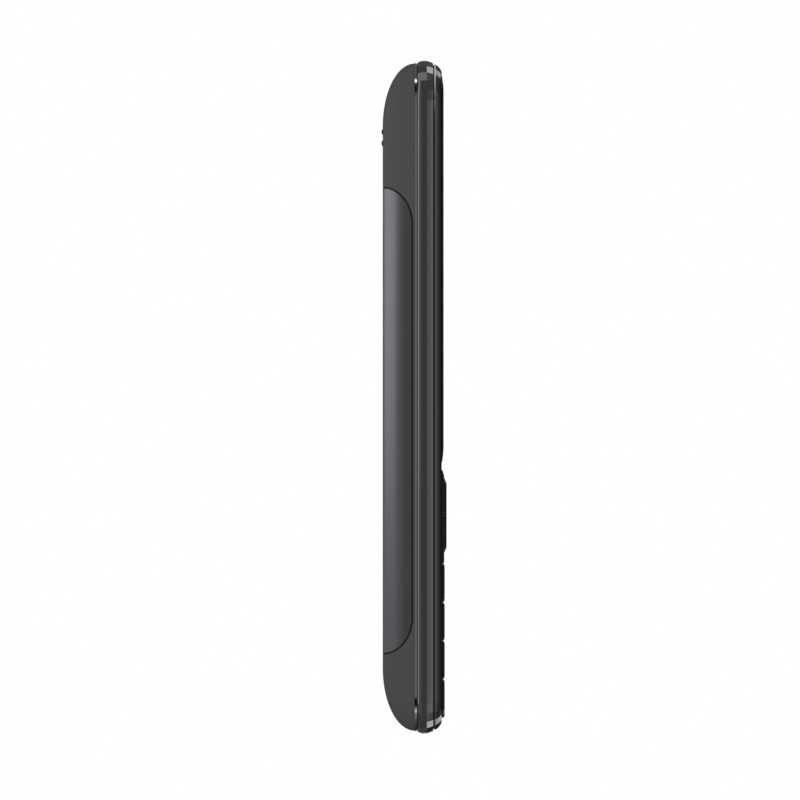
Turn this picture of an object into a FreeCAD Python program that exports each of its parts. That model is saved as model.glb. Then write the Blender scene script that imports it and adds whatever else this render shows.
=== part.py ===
import FreeCAD, Part
import math
import os

# A bar phone that stands upright: Z runs up its length, X across its width to the right, and the screen
# faces -Y. "Depth" is how far a point lies in front of the flat back. Millimetres throughout.

# --- whole phone -------------------------------------------------------------------------------------
phone_height = 120.0
phone_width = 51.0
corner_radius = 7.0            # corners of the widest outline, seen from the front
back_plane = 5.6               # Y of the flat back

# --- rear case ---------------------------------------------------------------------------------------
rear_step = 0.48               # the rear case stands this far inside the widest outline
rear_depth = 5.69              # depth where the rear case ends and the trim ring starts
end_curve_length = 11.2        # the back curves into each end over this length
side_curve_radius = 4.3        # rounding of the two long edges of the back
curve_steps = 8                # sections in the quarter turn from the back to the sides
case_wall = 1.2

# --- battery cover -----------------------------------------------------------------------------------
cover_bottom = 14.35
cover_from_top = 22.75         # from the phone's top to the cover
cover_depth = 5.13
cover_corner = 6.3             # length of the curved corners of its side outline
cover_gap = 0.3                # dark line round the cover
cover_wall = 1.0
cover_clearance = 0.15         # between the cover's inside and the case below it

# --- trim ring, mid frame and front frame ---------------------------------------------------------------
trim_depth = 0.46
trim_wall = 1.2
rear_facet_in = 0.42           # the mid frame starts this far inside the widest outline
crest_start = 6.95             # depth where its narrow crest starts
crest_end = 7.5
mid_front = 9.02               # depth of the mid frame's front edge
front_facet_in = 0.52
mid_wall = 1.5
seam_gap = 0.16                # dark seam between the mid frame and the front frame
seam_floor_in = 1.1            # the seam is this deep, measured from the widest outline
front_step = 0.05              # the front frame starts this far inside the mid frame's edge
front_face = 10.53             # depth of the front frame's flat face
front_edge_start = 22.4        # slope of its rounded edge, from behind to the face, in degrees
front_edge_end = 71.8
front_edge_steps = 6

# --- display lens ------------------------------------------------------------------------------------
lens_from_top = 2.4
lens_above_keys = 0.8
lens_side_in = 2.5             # from the widest outline to the lens
lens_face = 10.87
lens_ledge = 9.97              # depth of the ledge that the lens is stuck on
lens_ramp = 3.2                # length of the gentle curve at its top and bottom ends
lens_edge_radius = 0.28
lens_clearance = 0.05
lens_foot_radius = 1.0

# --- display -----------------------------------------------------------------------------------------
display_side_in = 5.4          # from the widest outline to the display
display_bottom_in = 4.5        # from the lens's ends to the display
display_top_in = 9.6
backlight_depth = 1.15
glass_front = 9.72             # depth of the front of the display glass
display_clearance = 0.2
gasket_width = 1.2
flex_width = 16.0
flex_thickness = 0.15
flex_lap = 1.2                 # length of the flex under the display, and of its plug
flex_plug_width = 8.0
flex_plug_height = 0.6

# --- main board --------------------------------------------------------------------------------------
board_back = 6.6
board_thickness = 0.8
board_clearance = 0.2
ledge_width = 1.2              # the mid frame's inner ledge carries the board's edge
screw_side_in = 3.6            # from the widest outline to the screws
screw_end_in = 3.0             # from the battery's ends to the end screws
screw_radius = 0.7
screw_head_radius = 1.3
screw_head_back = 2.8
screw_head_thickness = 0.8
screw_tip = 8.3
screw_cross_length = 1.6
screw_cross_width = 0.4
screw_cross_depth = 0.4
screw_clearance = 0.05
boss_radius = 1.5
boss_front = 8.55
notch_clearance = 0.3

# --- battery and its compartment ------------------------------------------------------------------------
battery_side_in = 6.5          # from the widest outline to the battery
battery_bottom = 22.0
battery_back = 1.2             # depth of the battery's outer face
battery_thickness = 3.55
battery_corner = 1.2
battery_clearance = 0.3
floor_back = 4.85              # depth of the compartment floor
floor_thickness = 0.5
recess_side_in = 2.5           # room under the floor, from the widest outline
contact_width = 9.0
contact_height = 3.0
contact_back = 2.6
contact_clearance = 0.15
blade_count = 3
blade_pitch = 2.5
blade_width = 1.2
blade_cover = 0.6              # the blades stop this far short of the battery's inner face
pad_depth = 0.1                # the battery's pads lie this deep in its end
channel_side_in = 3.0          # hollow rails along both sides of the compartment
channel_width = 2.0
channel_back = 2.5
channel_end_clearance = 2.8    # from the hollow rails to the screws' centres

# --- cards -------------------------------------------------------------------------------------------
card_zone_gap = 1.5            # from the battery's end to the two card holders
card_from_cover = 1.35         # from the cover's top end to the card holders
card_end_room = 1.4            # the holders are longer than the SIM card by this much
card_holder_back = 3.3         # the cards lie above the compartment floor, so they slide out over it
card_holder_wall = 0.3
card_gap = 1.0
card_clearance = 0.12
card_corner = 0.8
card_lip = 2.4                 # the holders grip the cards by lips this wide
card_far_lip = 1.2
sim_width = 25.0
sim_height = 15.0
sim_thickness = 0.76
memory_width = 11.0
memory_thickness = 0.7
window_clearance = 0.15
leg_pitch = 2.54               # contact legs from each card holder down to the board
leg_width = 0.5
leg_in = 1.6                   # from the holder's far end to the middle of its legs

# --- shields and chip -----------------------------------------------------------------------------------
shield_side_in = 9.5
shield_back = 5.5
shield_wall = 0.15
shield_corner = 0.75
shield_length = 22.0
shield_gap = 4.0
chip_size = 11.0
chip_thickness = 0.75

# --- key field ---------------------------------------------------------------------------------------
key_side_in = 2.8              # from the widest outline to the keys
keypad_bottom = 2.8
keypad_top = 30.28
number_rows = 4
number_columns = 3
key_gap = 0.1
key_face = 11.07
key_edge_radius = 0.24
key_corner = 0.5
key_back = 9.18                # depth of every key's underside, on the key mat
key_travel = 0.25              # how far a key can be pressed
side_key_face = 10.98          # soft, call and end keys
key_field_top = 47.3
side_key_split = 39.1          # between the soft keys and the keys below them
soft_slope = 1.3               # the soft keys slope down to the frame over this height
soft_slope_drop = 0.4
nav_centre = 38.9
nav_width = 17.6
nav_height = 13.4
nav_corner = 3.6
nav_bevel = 1.0
nav_rim = 11.40
nav_rim_width = 1.0
nav_dish = 0.07
nav_back = 9.3
nav_gap = 0.2
nav_lip_radius = 0.12
ok_width = 7.6
ok_height = 6.0
ok_corner = 1.8
ok_face = 11.28
ok_gap = 0.2
ok_hub_clearance = 0.21        # left under the pressed OK key
ok_stem_radius = 2.2
hub_outer_radius = 4.0
hub_inner_radius = 2.7
hub_back = 9.24
hub_thickness = 0.3
hub_clearance = 0.4

# --- key mat and domes ----------------------------------------------------------------------------------
mat_thickness = 0.5
mat_side_in = 2.1
mat_above_keys = 0.6
nub_radius = 0.9
nub_clearance = 0.05           # between a nub and the dome below it
pillar_radius = 0.8
dome_foil = 0.1
dome_radius = 2.0
dome_top_radius = 1.0
dome_height = 0.28
dome_foil_side_in = 5.7
nav_dome_x = 6.4
nav_dome_z = 4.9

# --- sound and camera at the top ------------------------------------------------------------------------
grille_x = 9.5
grille_from_top = 13.7
grille_width = 15.0
grille_height = 4.4
grille_thickness = 1.2
grille_clearance = 0.05
rib_pitch = 2.05
rib_height = 0.95
rib_width = 12.0
rib_proud = 0.2
rib_edge_radius = 0.16
slot_round = 0.98              # share of a slot's half height that its ends are rounded by
slot_height = 0.45
slot_width = 10.0
mesh_thickness = 0.15
speaker_width = 15.0
speaker_height = 11.0
speaker_thickness = 3.0
speaker_from_top = 15.6
speaker_corner = 2.0
magnet_radius = 4.5
fitting_gap = 0.05             # small gap between parts that are glued or clipped together
camera_x = -10.5
camera_from_top = 16.7
camera_side = 8.0
camera_ring_radius = 4.2
camera_ring_wall = 0.9
camera_ring_thickness = 1.15
camera_ring_edge = 0.1
window_back = 0.2
window_thickness = 0.7
camera_back = 1.6
barrel_radius = 2.9
barrel_thickness = 1.5
pupil_radius = 1.1
pupil_depth = 0.8
earpiece_from_lens_top = 5.2
earpiece_width = 10.0
earpiece_height = 5.6
earpiece_thickness = 1.65
earpiece_corner = 1.4
ear_slot_width = 8.0
ear_slot_height = 1.0
ear_mesh_margin = 0.5
microphone_side_in = 14.5
microphone_z = 8.5
microphone_radius = 2.0
microphone_thickness = 1.4
microphone_hole_radius = 0.45
microphone_hole_depth = 4.3

# --- sockets -----------------------------------------------------------------------------------------
jack_x = -2.3
jack_depth = 3.9
jack_bore_radius = 1.25
jack_hole_clearance = 0.25     # round the socket's bore, at the hole in the case
jack_width = 4.8
jack_half_thickness = 1.65
jack_from_top = 5.3
jack_length = 12.1
jack_bore_length = 10.6
usb_width = 7.5
usb_back = 2.6
usb_thickness = 2.8
usb_bottom = 2.6
usb_length = 5.6
usb_wall = 0.3
usb_tongue = 0.7
usb_tongue_width = 3.8
usb_tongue_in = 1.0
usb_clearance = 0.15
usb_leg = 0.8

# --- antenna and vibration motor --------------------------------------------------------------------------
carrier_side_in = 6.9
carrier_width = 15.0
carrier_from_top = 3.6
carrier_height = 5.4
carrier_back = 4.0
antenna_thickness = 0.15
antenna_margin = 0.4
antenna_slots = 4
antenna_slot_width = 0.6
motor_side_in = 7.0
motor_length = 8.5
motor_radius = 1.9
motor_z = 8.8
motor_depth = 4.6
shaft_radius = 0.4
weight_radius = 1.8
weight_gap = 0.6
weight_length = 3.2
weight_bore_clearance = 0.02
collar_radius = 0.8
cradle_height = 1.9

half_width = phone_width / 2
cover_top = phone_height - cover_from_top
board_front = board_back + board_thickness
front_back = mid_front + seam_gap
lens_top = phone_height - lens_from_top
lens_bottom = key_field_top + lens_above_keys
lens_half_width = half_width - lens_side_in
display_half = half_width - display_side_in
display_bottom = lens_bottom + display_bottom_in
display_top = lens_top - display_top_in
key_half_width = half_width - key_side_in
mat_top = key_field_top + mat_above_keys
dome_foil_half = half_width - dome_foil_side_in
ok_cap_back = hub_back + hub_thickness + key_travel + ok_hub_clearance
card_holder_height = sim_height + card_end_room
card_zone_bottom = cover_top - card_from_cover - card_holder_height
battery_half = half_width - battery_side_in
battery_top = card_zone_bottom - card_zone_gap
screw_x = half_width - screw_side_in
screw_low = battery_bottom + screw_end_in
screw_high = battery_top - screw_end_in
screw_heights = (screw_low, (screw_low + screw_high) / 2, screw_high)
channel_outer = half_width - channel_side_in
channel_inner = channel_outer - channel_width
grille_z = phone_height - grille_from_top
speaker_z = phone_height - speaker_from_top
camera_z = phone_height - camera_from_top
earpiece_z = lens_top - earpiece_from_lens_top
microphone_x = half_width - microphone_side_in
carrier_right = half_width - carrier_side_in
carrier_left = carrier_right - carrier_width
motor_left = motor_side_in - half_width
shield_half_width = half_width - shield_side_in
jack_top = phone_height - jack_from_top
carrier_top = phone_height - carrier_from_top
far = 60.0                     # longer than anything that is cut away
quarter_turn = 90.0


def V(x, y, z):
    return FreeCAD.Vector(x, y, z)


def at(depth):
    """Y of the plane at this depth."""
    return back_plane - depth


def outline(x0, x1, z0, z1, radii, depth):
    """Closed wire of a rounded rectangle at one depth; radii run from bottom left anticlockwise."""
    y = at(depth)
    if not isinstance(radii, tuple):
        radii = (radii,) * 4
    corners = ((x0, z0, 1, 1, 2), (x1, z0, -1, 1, 3), (x1, z1, -1, -1, 0), (x0, z1, 1, -1, 1))
    arcs = []
    for (x, z, to_x, to_z, turns), r in zip(corners, radii):
        points = []
        for part in (0, 1 / 2, 1):
            a = math.radians((turns + part) * quarter_turn)
            points.append(V(x + to_x * r + r * math.cos(a), y, z + to_z * r + r * math.sin(a)))
        arcs.append(points)
    edges = []
    for i, points in enumerate(arcs):
        edges.append(Part.Arc(*points).toShape())
        edges.append(Part.LineSegment(points[2], arcs[(i + 1) % 4][0]).toShape())
    return Part.Wire(edges)


def slab(x0, x1, z0, z1, radii, back, front):
    """Rounded rectangle between two depths."""
    face = Part.Face(outline(x0, x1, z0, z1, radii, back))
    return face.extrude(V(0, back - front, 0))


def phone_outline(side_in, end_in, depth, radius):
    return outline(side_in - half_width, half_width - side_in, end_in, phone_height - end_in, radius, depth)


def phone_slab(inset, back, front):
    wire = phone_outline(inset, inset, back, corner_radius - inset)
    return Part.Face(wire).extrude(V(0, back - front, 0))


def box(x0, x1, back, front, z0, z1):
    return Part.makeBox(x1 - x0, front - back, z1 - z0, V(x0, at(front), z0))


def disc(x, z, radius, back, front):
    """Cylinder whose axis runs from the back to the front."""
    return Part.makeCylinder(radius, front - back, V(x, at(back), z), V(0, -1, 0))


def upright(x, depth, radius, z0, z1):
    """Cylinder whose axis runs up the phone."""
    return Part.makeCylinder(radius, z1 - z0, V(x, at(depth), z0), V(0, 0, 1))


def round_face(solid, depth, radius):
    """Rounds the edges of the flat face at this depth."""
    edges = [e for e in solid.Edges if all(abs(v.Y - at(depth)) < 1e-6 for v in e.Vertexes)]
    return solid.makeFillet(radius, edges)


def cut_all(solid, tools):
    for tool in tools:
        solid = solid.cut(tool)
    return solid


def fuse_all(solids):
    whole = solids[0]
    for solid in solids[1:]:
        whole = whole.fuse(solid)
    return whole.removeSplitter()


def rear_form(inset):
    """Rounded body of the back, pulled in all over by the inset: flat back, curved sides and ends."""
    wires = []
    radius = side_curve_radius - inset
    for step in range(curve_steps + 1):
        turn = math.radians(quarter_turn * step / curve_steps)
        depth = inset + (rear_depth - inset) * (1 - math.cos(turn))
        end_in = (end_curve_length - inset) * (1 - math.sin(turn))
        rest = max(0.0, radius - (depth - inset))
        side_in = radius - math.sqrt(radius ** 2 - rest ** 2)
        base = rear_step + inset
        wires.append(phone_outline(base + side_in, base + end_in, depth, corner_radius - base))
    return Part.makeLoft(wires, True, False)


def cover_prism(grow):
    """Side outline of the battery cover, run right across the phone."""
    reach = cover_depth + grow
    points = []
    for centre, sign in ((cover_top - cover_corner, 1), (cover_bottom + cover_corner, -1)):
        row = []
        for step in range(curve_steps + 1):
            turn = math.radians(quarter_turn * step / curve_steps)
            z = centre + sign * (cover_corner + grow) * math.cos(turn)
            row.append(V(-far / 2, at(reach * math.sin(turn)), z))
        points.append(row)
    edges = []
    for row in points:
        curve = Part.BSplineCurve()
        curve.interpolate(row)
        edges.append(curve.toShape())
    top, bottom = points
    outside = back_plane + case_wall
    top_out = V(-far / 2, outside, top[0].z)
    bottom_out = V(-far / 2, outside, bottom[0].z)
    sides = ((top[-1], bottom[-1]), (bottom[0], bottom_out), (bottom_out, top_out), (top_out, top[0]))
    for start, end in sides:
        edges.append(Part.LineSegment(start, end).toShape())
    wire = Part.Wire(Part.sortEdges(edges)[0])
    return Part.Face(wire).extrude(V(far, 0, 0))


def screw_places():
    return [(side * screw_x, z) for side in (-1, 1) for z in screw_heights]


# --- casing ------------------------------------------------------------------------------------------
def make_rear_case():
    cover_room = cover_prism(cover_gap)
    tray = rear_form(cover_wall + cover_clearance).common(cover_room)
    case = rear_form(0).cut(cover_room).fuse(tray)
    hollow = rear_form(case_wall)
    top_edge = cover_top + cover_gap + case_wall
    bottom_edge = cover_bottom - cover_gap - case_wall
    top_room = hollow.common(box(-far, far, 0, rear_depth + 1, top_edge, phone_height))
    boss_side = jack_width / 2 + case_wall
    top_room = top_room.cut(box(jack_x - boss_side, jack_x + boss_side, 0, far, jack_top, phone_height))
    bottom_room = hollow.common(box(-far, far, 0, rear_depth + 1, 0, bottom_edge))
    side = half_width - recess_side_in
    floor_front = floor_back + floor_thickness
    under_floor = box(-side, side, floor_front, far, bottom_edge - fitting_gap, top_edge + fitting_gap)
    battery_side = battery_half + battery_clearance
    battery_room = box(-battery_side, battery_side, -1, floor_back,
                       battery_bottom - battery_clearance, battery_top + battery_clearance)
    cards = [holder_span(i) for i in (0, 1)]
    card_room = box(cards[0][0] - window_clearance, cards[1][1] + window_clearance, -1, floor_back,
                    battery_top, card_zone_bottom + card_holder_height + window_clearance)
    contact_side = contact_width / 2 + contact_clearance
    contact_low = battery_bottom - battery_clearance - contact_height - contact_clearance
    contact_room = box(-contact_side, contact_side, contact_back - contact_clearance, far,
                       contact_low, battery_bottom)
    cuts = [top_room, bottom_room, under_floor, battery_room, card_room, contact_room]
    leg_z = card_zone_bottom + card_holder_height - leg_in
    for x0, x1 in cards:
        cuts.append(box(x0 + leg_width, x1 - leg_width, 0, far, leg_z - leg_width, leg_z + leg_width))
    for low, high in zip(screw_heights[:-1], screw_heights[1:]):
        for x0, x1 in ((-channel_outer, -channel_inner), (channel_inner, channel_outer)):
            cuts.append(box(x0, x1, channel_back, far,
                            low + channel_end_clearance, high - channel_end_clearance))
    for x, z in screw_places():
        head_front = screw_head_back + screw_head_thickness
        head_room = disc(x, z, screw_head_radius + screw_clearance, -1, head_front)
        cuts.append(head_room.fuse(disc(x, z, screw_radius + screw_clearance, 0, rear_depth + 1)))
    cuts.append(grille_plate(grille_clearance, -1, case_wall + 1))
    cuts.append(disc(camera_x, camera_z, camera_ring_radius + grille_clearance, -1, case_wall + 1))
    jack_hole_radius = jack_bore_radius + jack_hole_clearance
    cuts.append(upright(jack_x, jack_depth, jack_hole_radius, jack_top - 1, phone_height))
    usb_side = usb_width / 2 + usb_clearance
    cuts.append(box(-usb_side, usb_side, usb_back - usb_clearance, usb_back + usb_thickness + usb_clearance,
                    -1, usb_bottom + usb_length))
    cuts.append(upright(microphone_x, microphone_hole_depth, microphone_hole_radius, -1, microphone_z))
    return cut_all(case, cuts)


def make_battery_cover():
    return rear_form(0).common(cover_prism(0)).cut(rear_form(cover_wall))


def make_trim_ring():
    front = rear_depth + trim_depth
    return phone_slab(rear_step, rear_depth, front).cut(phone_slab(rear_step + trim_wall, 0, far))


def make_mid_frame():
    back = rear_depth + trim_depth
    levels = ((back, rear_facet_in), (crest_start, 0), (crest_end, 0), (mid_front, front_facet_in))
    wires = [phone_outline(inset, inset, depth, corner_radius - inset) for depth, inset in levels]
    frame = Part.makeLoft(wires, True, True).cut(phone_slab(mid_wall, 0, far))
    ledge = phone_slab(mid_wall, back, board_back).cut(phone_slab(mid_wall + ledge_width, 0, far))
    seam_tongue = phone_slab(seam_floor_in, mid_front, front_back).cut(phone_slab(mid_wall, 0, far))
    parts = [frame, ledge, seam_tongue]
    for x, z in screw_places():
        parts.append(disc(x, z, boss_radius, back, boss_front))
        outer = half_width - mid_wall
        side = math.copysign(1, x)
        web = sorted((x, side * outer))
        parts.append(box(web[0], web[1], back, board_front, z - screw_radius, z + screw_radius))
    frame = fuse_all(parts)
    return cut_all(frame, [disc(x, z, screw_radius, 0, far) for x, z in screw_places()])


def make_front_frame():
    start = math.radians(front_edge_start)
    end = math.radians(front_edge_end)
    radius = (front_face - front_back) / (math.sin(end) - math.sin(start))
    first = front_facet_in + front_step
    wires = []
    for step in range(front_edge_steps + 1):
        turn = start + (end - start) * step / front_edge_steps
        depth = front_back + radius * (math.sin(turn) - math.sin(start))
        inset = first + radius * (math.cos(start) - math.cos(turn))
        wires.append(phone_outline(inset, inset, depth, corner_radius - inset))
    frame = Part.makeLoft(wires, True, False)
    side = display_half + display_clearance
    ear = ear_slot_width / 2 + ear_mesh_margin + fitting_gap
    ear_high = ear_slot_height / 2 + ear_mesh_margin + fitting_gap
    cuts = [
        lens_block(lens_clearance, lens_ledge, far),
        key_field(0, 0, far),
        box(-side, side, 0, far, display_bottom - display_clearance, display_top + display_clearance),
        box(-ear, ear, 0, far, earpiece_z - ear_high, earpiece_z + ear_high),
    ]
    return cut_all(frame, cuts)


def make_case_screws():
    screws = []
    for x, z in screw_places():
        head_front = screw_head_back + screw_head_thickness
        head = disc(x, z, screw_head_radius, screw_head_back, head_front)
        shank = disc(x, z, screw_radius, head_front, screw_tip)
        long, thin = screw_cross_length / 2, screw_cross_width / 2
        bottom = screw_head_back + screw_cross_depth
        cross = box(x - long, x + long, 0, bottom, z - thin, z + thin)
        across = box(x - thin, x + thin, 0, bottom, z - long, z + long)
        screws.append(head.fuse(shank).removeSplitter().cut(cross).cut(across))
    return Part.makeCompound(screws)


# --- display -----------------------------------------------------------------------------------------
def lens_block(grow, back, front):
    top = corner_radius - lens_side_in + grow
    foot = lens_foot_radius + grow
    half = lens_half_width + grow
    return slab(-half, half, lens_bottom - grow, lens_top + grow, (foot, foot, top, top), back, front)


def make_display_lens():
    rise = lens_face - front_face
    bend = (lens_ramp ** 2 + rise ** 2) / (2 * rise)
    y_face, y_edge, y_back = at(lens_face), at(front_face), at(lens_ledge)
    left = -far / 2
    part_way = math.asin(lens_ramp / bend) / 2
    along = bend * math.sin(part_way)
    drop = bend * (1 - math.cos(part_way))
    low, high = lens_bottom + lens_ramp, lens_top - lens_ramp
    points = (
        V(left, y_back, lens_bottom), V(left, y_edge, lens_bottom),
        V(left, y_face + drop, low - along), V(left, y_face, low),
        V(left, y_face, high), V(left, y_face + drop, high + along),
        V(left, y_edge, lens_top), V(left, y_back, lens_top),
    )
    edges = [
        Part.LineSegment(points[0], points[1]).toShape(), Part.Arc(*points[1:4]).toShape(),
        Part.LineSegment(points[3], points[4]).toShape(), Part.Arc(*points[4:7]).toShape(),
        Part.LineSegment(points[6], points[7]).toShape(), Part.LineSegment(points[7], points[0]).toShape(),
    ]
    side_view = Part.Face(Part.Wire(edges)).extrude(V(far, 0, 0))
    half = lens_half_width
    across = Part.makeBox(2 * half, y_back - y_face, phone_height, V(-half, y_face, 0))
    long_edges = [e for e in across.Edges
                  if all(abs(v.Y - y_face) < 1e-6 for v in e.Vertexes) and abs(e.tangentAt(0).z) > 0.9]
    across = across.makeFillet(lens_edge_radius, long_edges)
    lens = lens_block(0, lens_ledge, lens_face).common(side_view).common(across)
    r = ear_slot_height / 2
    half_slot = ear_slot_width / 2
    return lens.cut(slab(-half_slot, half_slot, earpiece_z - r, earpiece_z + r, r * slot_round, 0, far))


def make_lcd_backlight():
    half = display_half
    back = board_front + fitting_gap
    tray = box(-half, half, back, glass_front - backlight_depth, display_bottom, display_top)
    notch = flex_width / 2 + display_clearance
    notch_front = board_front + flex_thickness + fitting_gap
    return tray.cut(box(-notch, notch, 0, notch_front, 0, display_bottom + flex_lap))


def make_lcd_glass():
    half = display_half
    margin = display_clearance
    return box(-half + margin, half - margin, glass_front - backlight_depth, glass_front,
               display_bottom + margin, display_top - margin)


def make_lcd_gasket():
    half = display_half - display_clearance
    low = display_bottom + display_clearance
    high = display_top - display_clearance
    w = gasket_width
    ring = box(-half, half, glass_front, lens_ledge, low, high)
    return ring.cut(box(-half + w, half - w, 0, far, low + w, high - w))


def make_lcd_flex():
    half = flex_width / 2
    low = mat_top + display_clearance
    lead = box(-half, half, board_front, board_front + flex_thickness, low, display_bottom + flex_lap)
    plug_half = flex_plug_width / 2
    plug = box(-plug_half, plug_half, board_front, board_front + flex_plug_height, low, low + flex_lap)
    return lead.fuse(plug).removeSplitter()


# --- board and power ---------------------------------------------------------------------------------
def make_main_board():
    board = phone_slab(mid_wall + board_clearance, board_back, board_front)
    reach = boss_radius + notch_clearance
    cuts = []
    for x, z in screw_places():
        outer = math.copysign(far, x)
        x0, x1 = sorted((x - math.copysign(reach, x), outer))
        cuts.append(box(x0, x1, 0, far, z - reach, z + reach))
    return cut_all(board, cuts)


def make_battery():
    half = battery_half
    front = battery_back + battery_thickness
    solid = slab(-half, half, battery_bottom, battery_top, battery_corner, battery_back, front)
    pads = []
    for i in range(blade_count):
        x = (i - (blade_count - 1) / 2) * blade_pitch
        pads.append(box(x - blade_width, x + blade_width, contact_back, front - blade_cover,
                        battery_bottom - 1, battery_bottom + pad_depth))
    return cut_all(solid, pads)


def make_battery_contacts():
    half = contact_width / 2
    high = battery_bottom - battery_clearance
    parts = [box(-half, half, contact_back, board_back, high - contact_height, high)]
    for i in range(blade_count):
        x = (i - (blade_count - 1) / 2) * blade_pitch
        parts.append(box(x - blade_width / 2, x + blade_width / 2, contact_back + contact_clearance,
                         battery_back + battery_thickness - blade_cover, high, battery_bottom - fitting_gap))
    return fuse_all(parts)


def holder_span(which):
    """Left and right side of the SIM holder (0) or the memory card holder (1)."""
    widths = [w + 2 * (card_holder_wall + card_clearance) for w in (sim_width, memory_width)]
    left = -(sum(widths) + card_gap) / 2
    if which == 0:
        return left, left + widths[0]
    return left + widths[0] + card_gap, left + sum(widths) + card_gap


def make_card_holder(which, thickness):
    x0, x1 = holder_span(which)
    z0 = card_zone_bottom
    z1 = z0 + card_holder_height
    w = card_holder_wall
    shell = box(x0, x1, card_holder_back, floor_back, z0, z1)
    pocket_front = card_holder_back + w + thickness + card_clearance
    pocket = box(x0 + w, x1 - w, card_holder_back + w, pocket_front, z0 - 1, z1 - w)
    window = box(x0 + card_lip, x1 - card_lip, 0, card_holder_back + w + card_clearance,
                 z0 - 1, z1 - card_far_lip)
    parts = [shell.cut(pocket).cut(window)]
    legs = int((x1 - x0 - 2 * leg_width) / leg_pitch)
    for i in range(legs):
        x = (x0 + x1) / 2 + (i - (legs - 1) / 2) * leg_pitch
        parts.append(box(x - leg_width / 2, x + leg_width / 2, floor_back, board_back,
                         z1 - leg_in - leg_width / 2, z1 - leg_in + leg_width / 2))
    return fuse_all(parts)


def make_card(which, width, thickness):
    x0, x1 = holder_span(which)
    middle = (x0 + x1) / 2
    z0 = card_zone_bottom + card_holder_wall
    back = card_holder_back + card_holder_wall + card_clearance / 2
    return slab(middle - width / 2, middle + width / 2, z0, z0 + sim_height, card_corner,
                back, back + thickness)


def make_shield_can(which):
    low = battery_bottom + shield_gap + which * (shield_length + shield_gap)
    half = shield_half_width
    w = shield_wall
    can = slab(-half, half, low, low + shield_length, shield_corner, shield_back, board_back)
    return can.cut(box(w - half, half - w, shield_back + w, far, low + w, low + shield_length - w))


def make_processor_chip():
    low = battery_bottom + shield_gap + (shield_length - chip_size) / 2
    half = chip_size / 2
    return box(-half, half, board_back - chip_thickness, board_back, low, low + chip_size)


# --- keys --------------------------------------------------------------------------------------------
def key_field(inset, back, front):
    """Opening of the key field, its lower corners in line with the phone's own corners."""
    half = key_half_width + key_gap - inset
    low = keypad_bottom - key_gap + inset
    foot = corner_radius - key_side_in + key_gap - inset
    top = key_corner + key_gap
    return slab(-half, half, low, key_field_top + key_gap - inset, (foot, foot, top, top), back, front)


def key_cap(x0, x1, z0, z1, radii, face):
    return round_face(slab(x0, x1, z0, z1, radii, key_back, face), face, key_edge_radius)


def number_cell(row, column):
    pitch_z = (keypad_top - keypad_bottom) / number_rows
    pitch_x = (2 * key_half_width + key_gap) / number_columns
    x0 = -key_half_width + column * pitch_x
    z1 = keypad_top - key_gap / 2 - row * pitch_z
    z0 = z1 - pitch_z + key_gap
    if row == number_rows - 1:
        z0 = keypad_bottom
    return x0, x0 + pitch_x - key_gap, z0, z1


def make_number_key(row, column):
    big = corner_radius - key_side_in
    left = big if row == number_rows - 1 and column == 0 else key_corner
    right = big if row == number_rows - 1 and column == number_columns - 1 else key_corner
    return key_cap(*number_cell(row, column), (left, right, key_corner, key_corner), key_face)


def nav_room(grow):
    half = nav_width / 2 + grow
    high = nav_height / 2 + grow
    return slab(-half, half, nav_centre - high, nav_centre + high, nav_corner + grow, 0, far)


def make_side_key(side, upper):
    """Soft keys above, call and end keys below, shaped round the navigation ring."""
    middle = key_gap / 2
    z0, z1 = keypad_top + middle, side_key_split - middle
    if upper:
        z0, z1 = side_key_split + middle, key_field_top
    x0, x1 = sorted((side * middle, side * key_half_width))
    cap = slab(x0, x1, z0, z1, key_corner, key_back, side_key_face).cut(nav_room(nav_gap))
    cap = round_face(sorted(cap.Solids, key=lambda s: s.Volume)[-1], side_key_face, key_edge_radius)
    if upper:
        low, high = z1 - soft_slope, z1 + 1
        drop = soft_slope_drop * (high - low) / soft_slope
        y = at(side_key_face)
        left = -far / 2
        corners = (V(left, y, low), V(left, y + drop, high), V(left, y - 1, high), V(left, y, low))
        cap = cap.cut(Part.Face(Part.makePolygon(corners)).extrude(V(far, 0, 0)))
    return cap


def make_nav_ring():
    half, high = nav_width / 2, nav_height / 2
    z0, z1 = nav_centre - high, nav_centre + high
    base = slab(-half, half, z0, z1, nav_corner, nav_back, side_key_face)
    b = nav_bevel
    bevel = Part.makeLoft([
        outline(-half, half, z0, z1, nav_corner, side_key_face),
        outline(b - half, half - b, z0 + b, z1 - b, nav_corner - b, nav_rim)], True, True)
    ring = round_face(base.fuse(bevel).removeSplitter(), nav_rim, nav_lip_radius)
    w = nav_bevel + nav_rim_width
    dish = slab(w - half, half - w, z0 + w, z1 - w, nav_corner - w, nav_rim - nav_dish, far)
    g = ok_gap
    hole = slab(-ok_width / 2 - g, ok_width / 2 + g, nav_centre - ok_height / 2 - g,
                nav_centre + ok_height / 2 + g, ok_corner + g, 0, far)
    hub_front = hub_back + hub_thickness
    hub_room = disc(0, nav_centre, hub_outer_radius + hub_clearance, 0, hub_front + hub_clearance)
    return cut_all(ring, [dish, hole, hub_room])


def make_nav_hub():
    front = hub_back + hub_thickness
    ring = disc(0, nav_centre, hub_outer_radius, hub_back, front)
    return ring.cut(disc(0, nav_centre, hub_inner_radius, 0, far))


def make_ok_key():
    cap = slab(-ok_width / 2, ok_width / 2, nav_centre - ok_height / 2, nav_centre + ok_height / 2, ok_corner,
               ok_cap_back, ok_face)
    cap = round_face(cap, ok_face, key_edge_radius)
    return cap.fuse(disc(0, nav_centre, ok_stem_radius, key_back, ok_cap_back)).removeSplitter()


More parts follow.
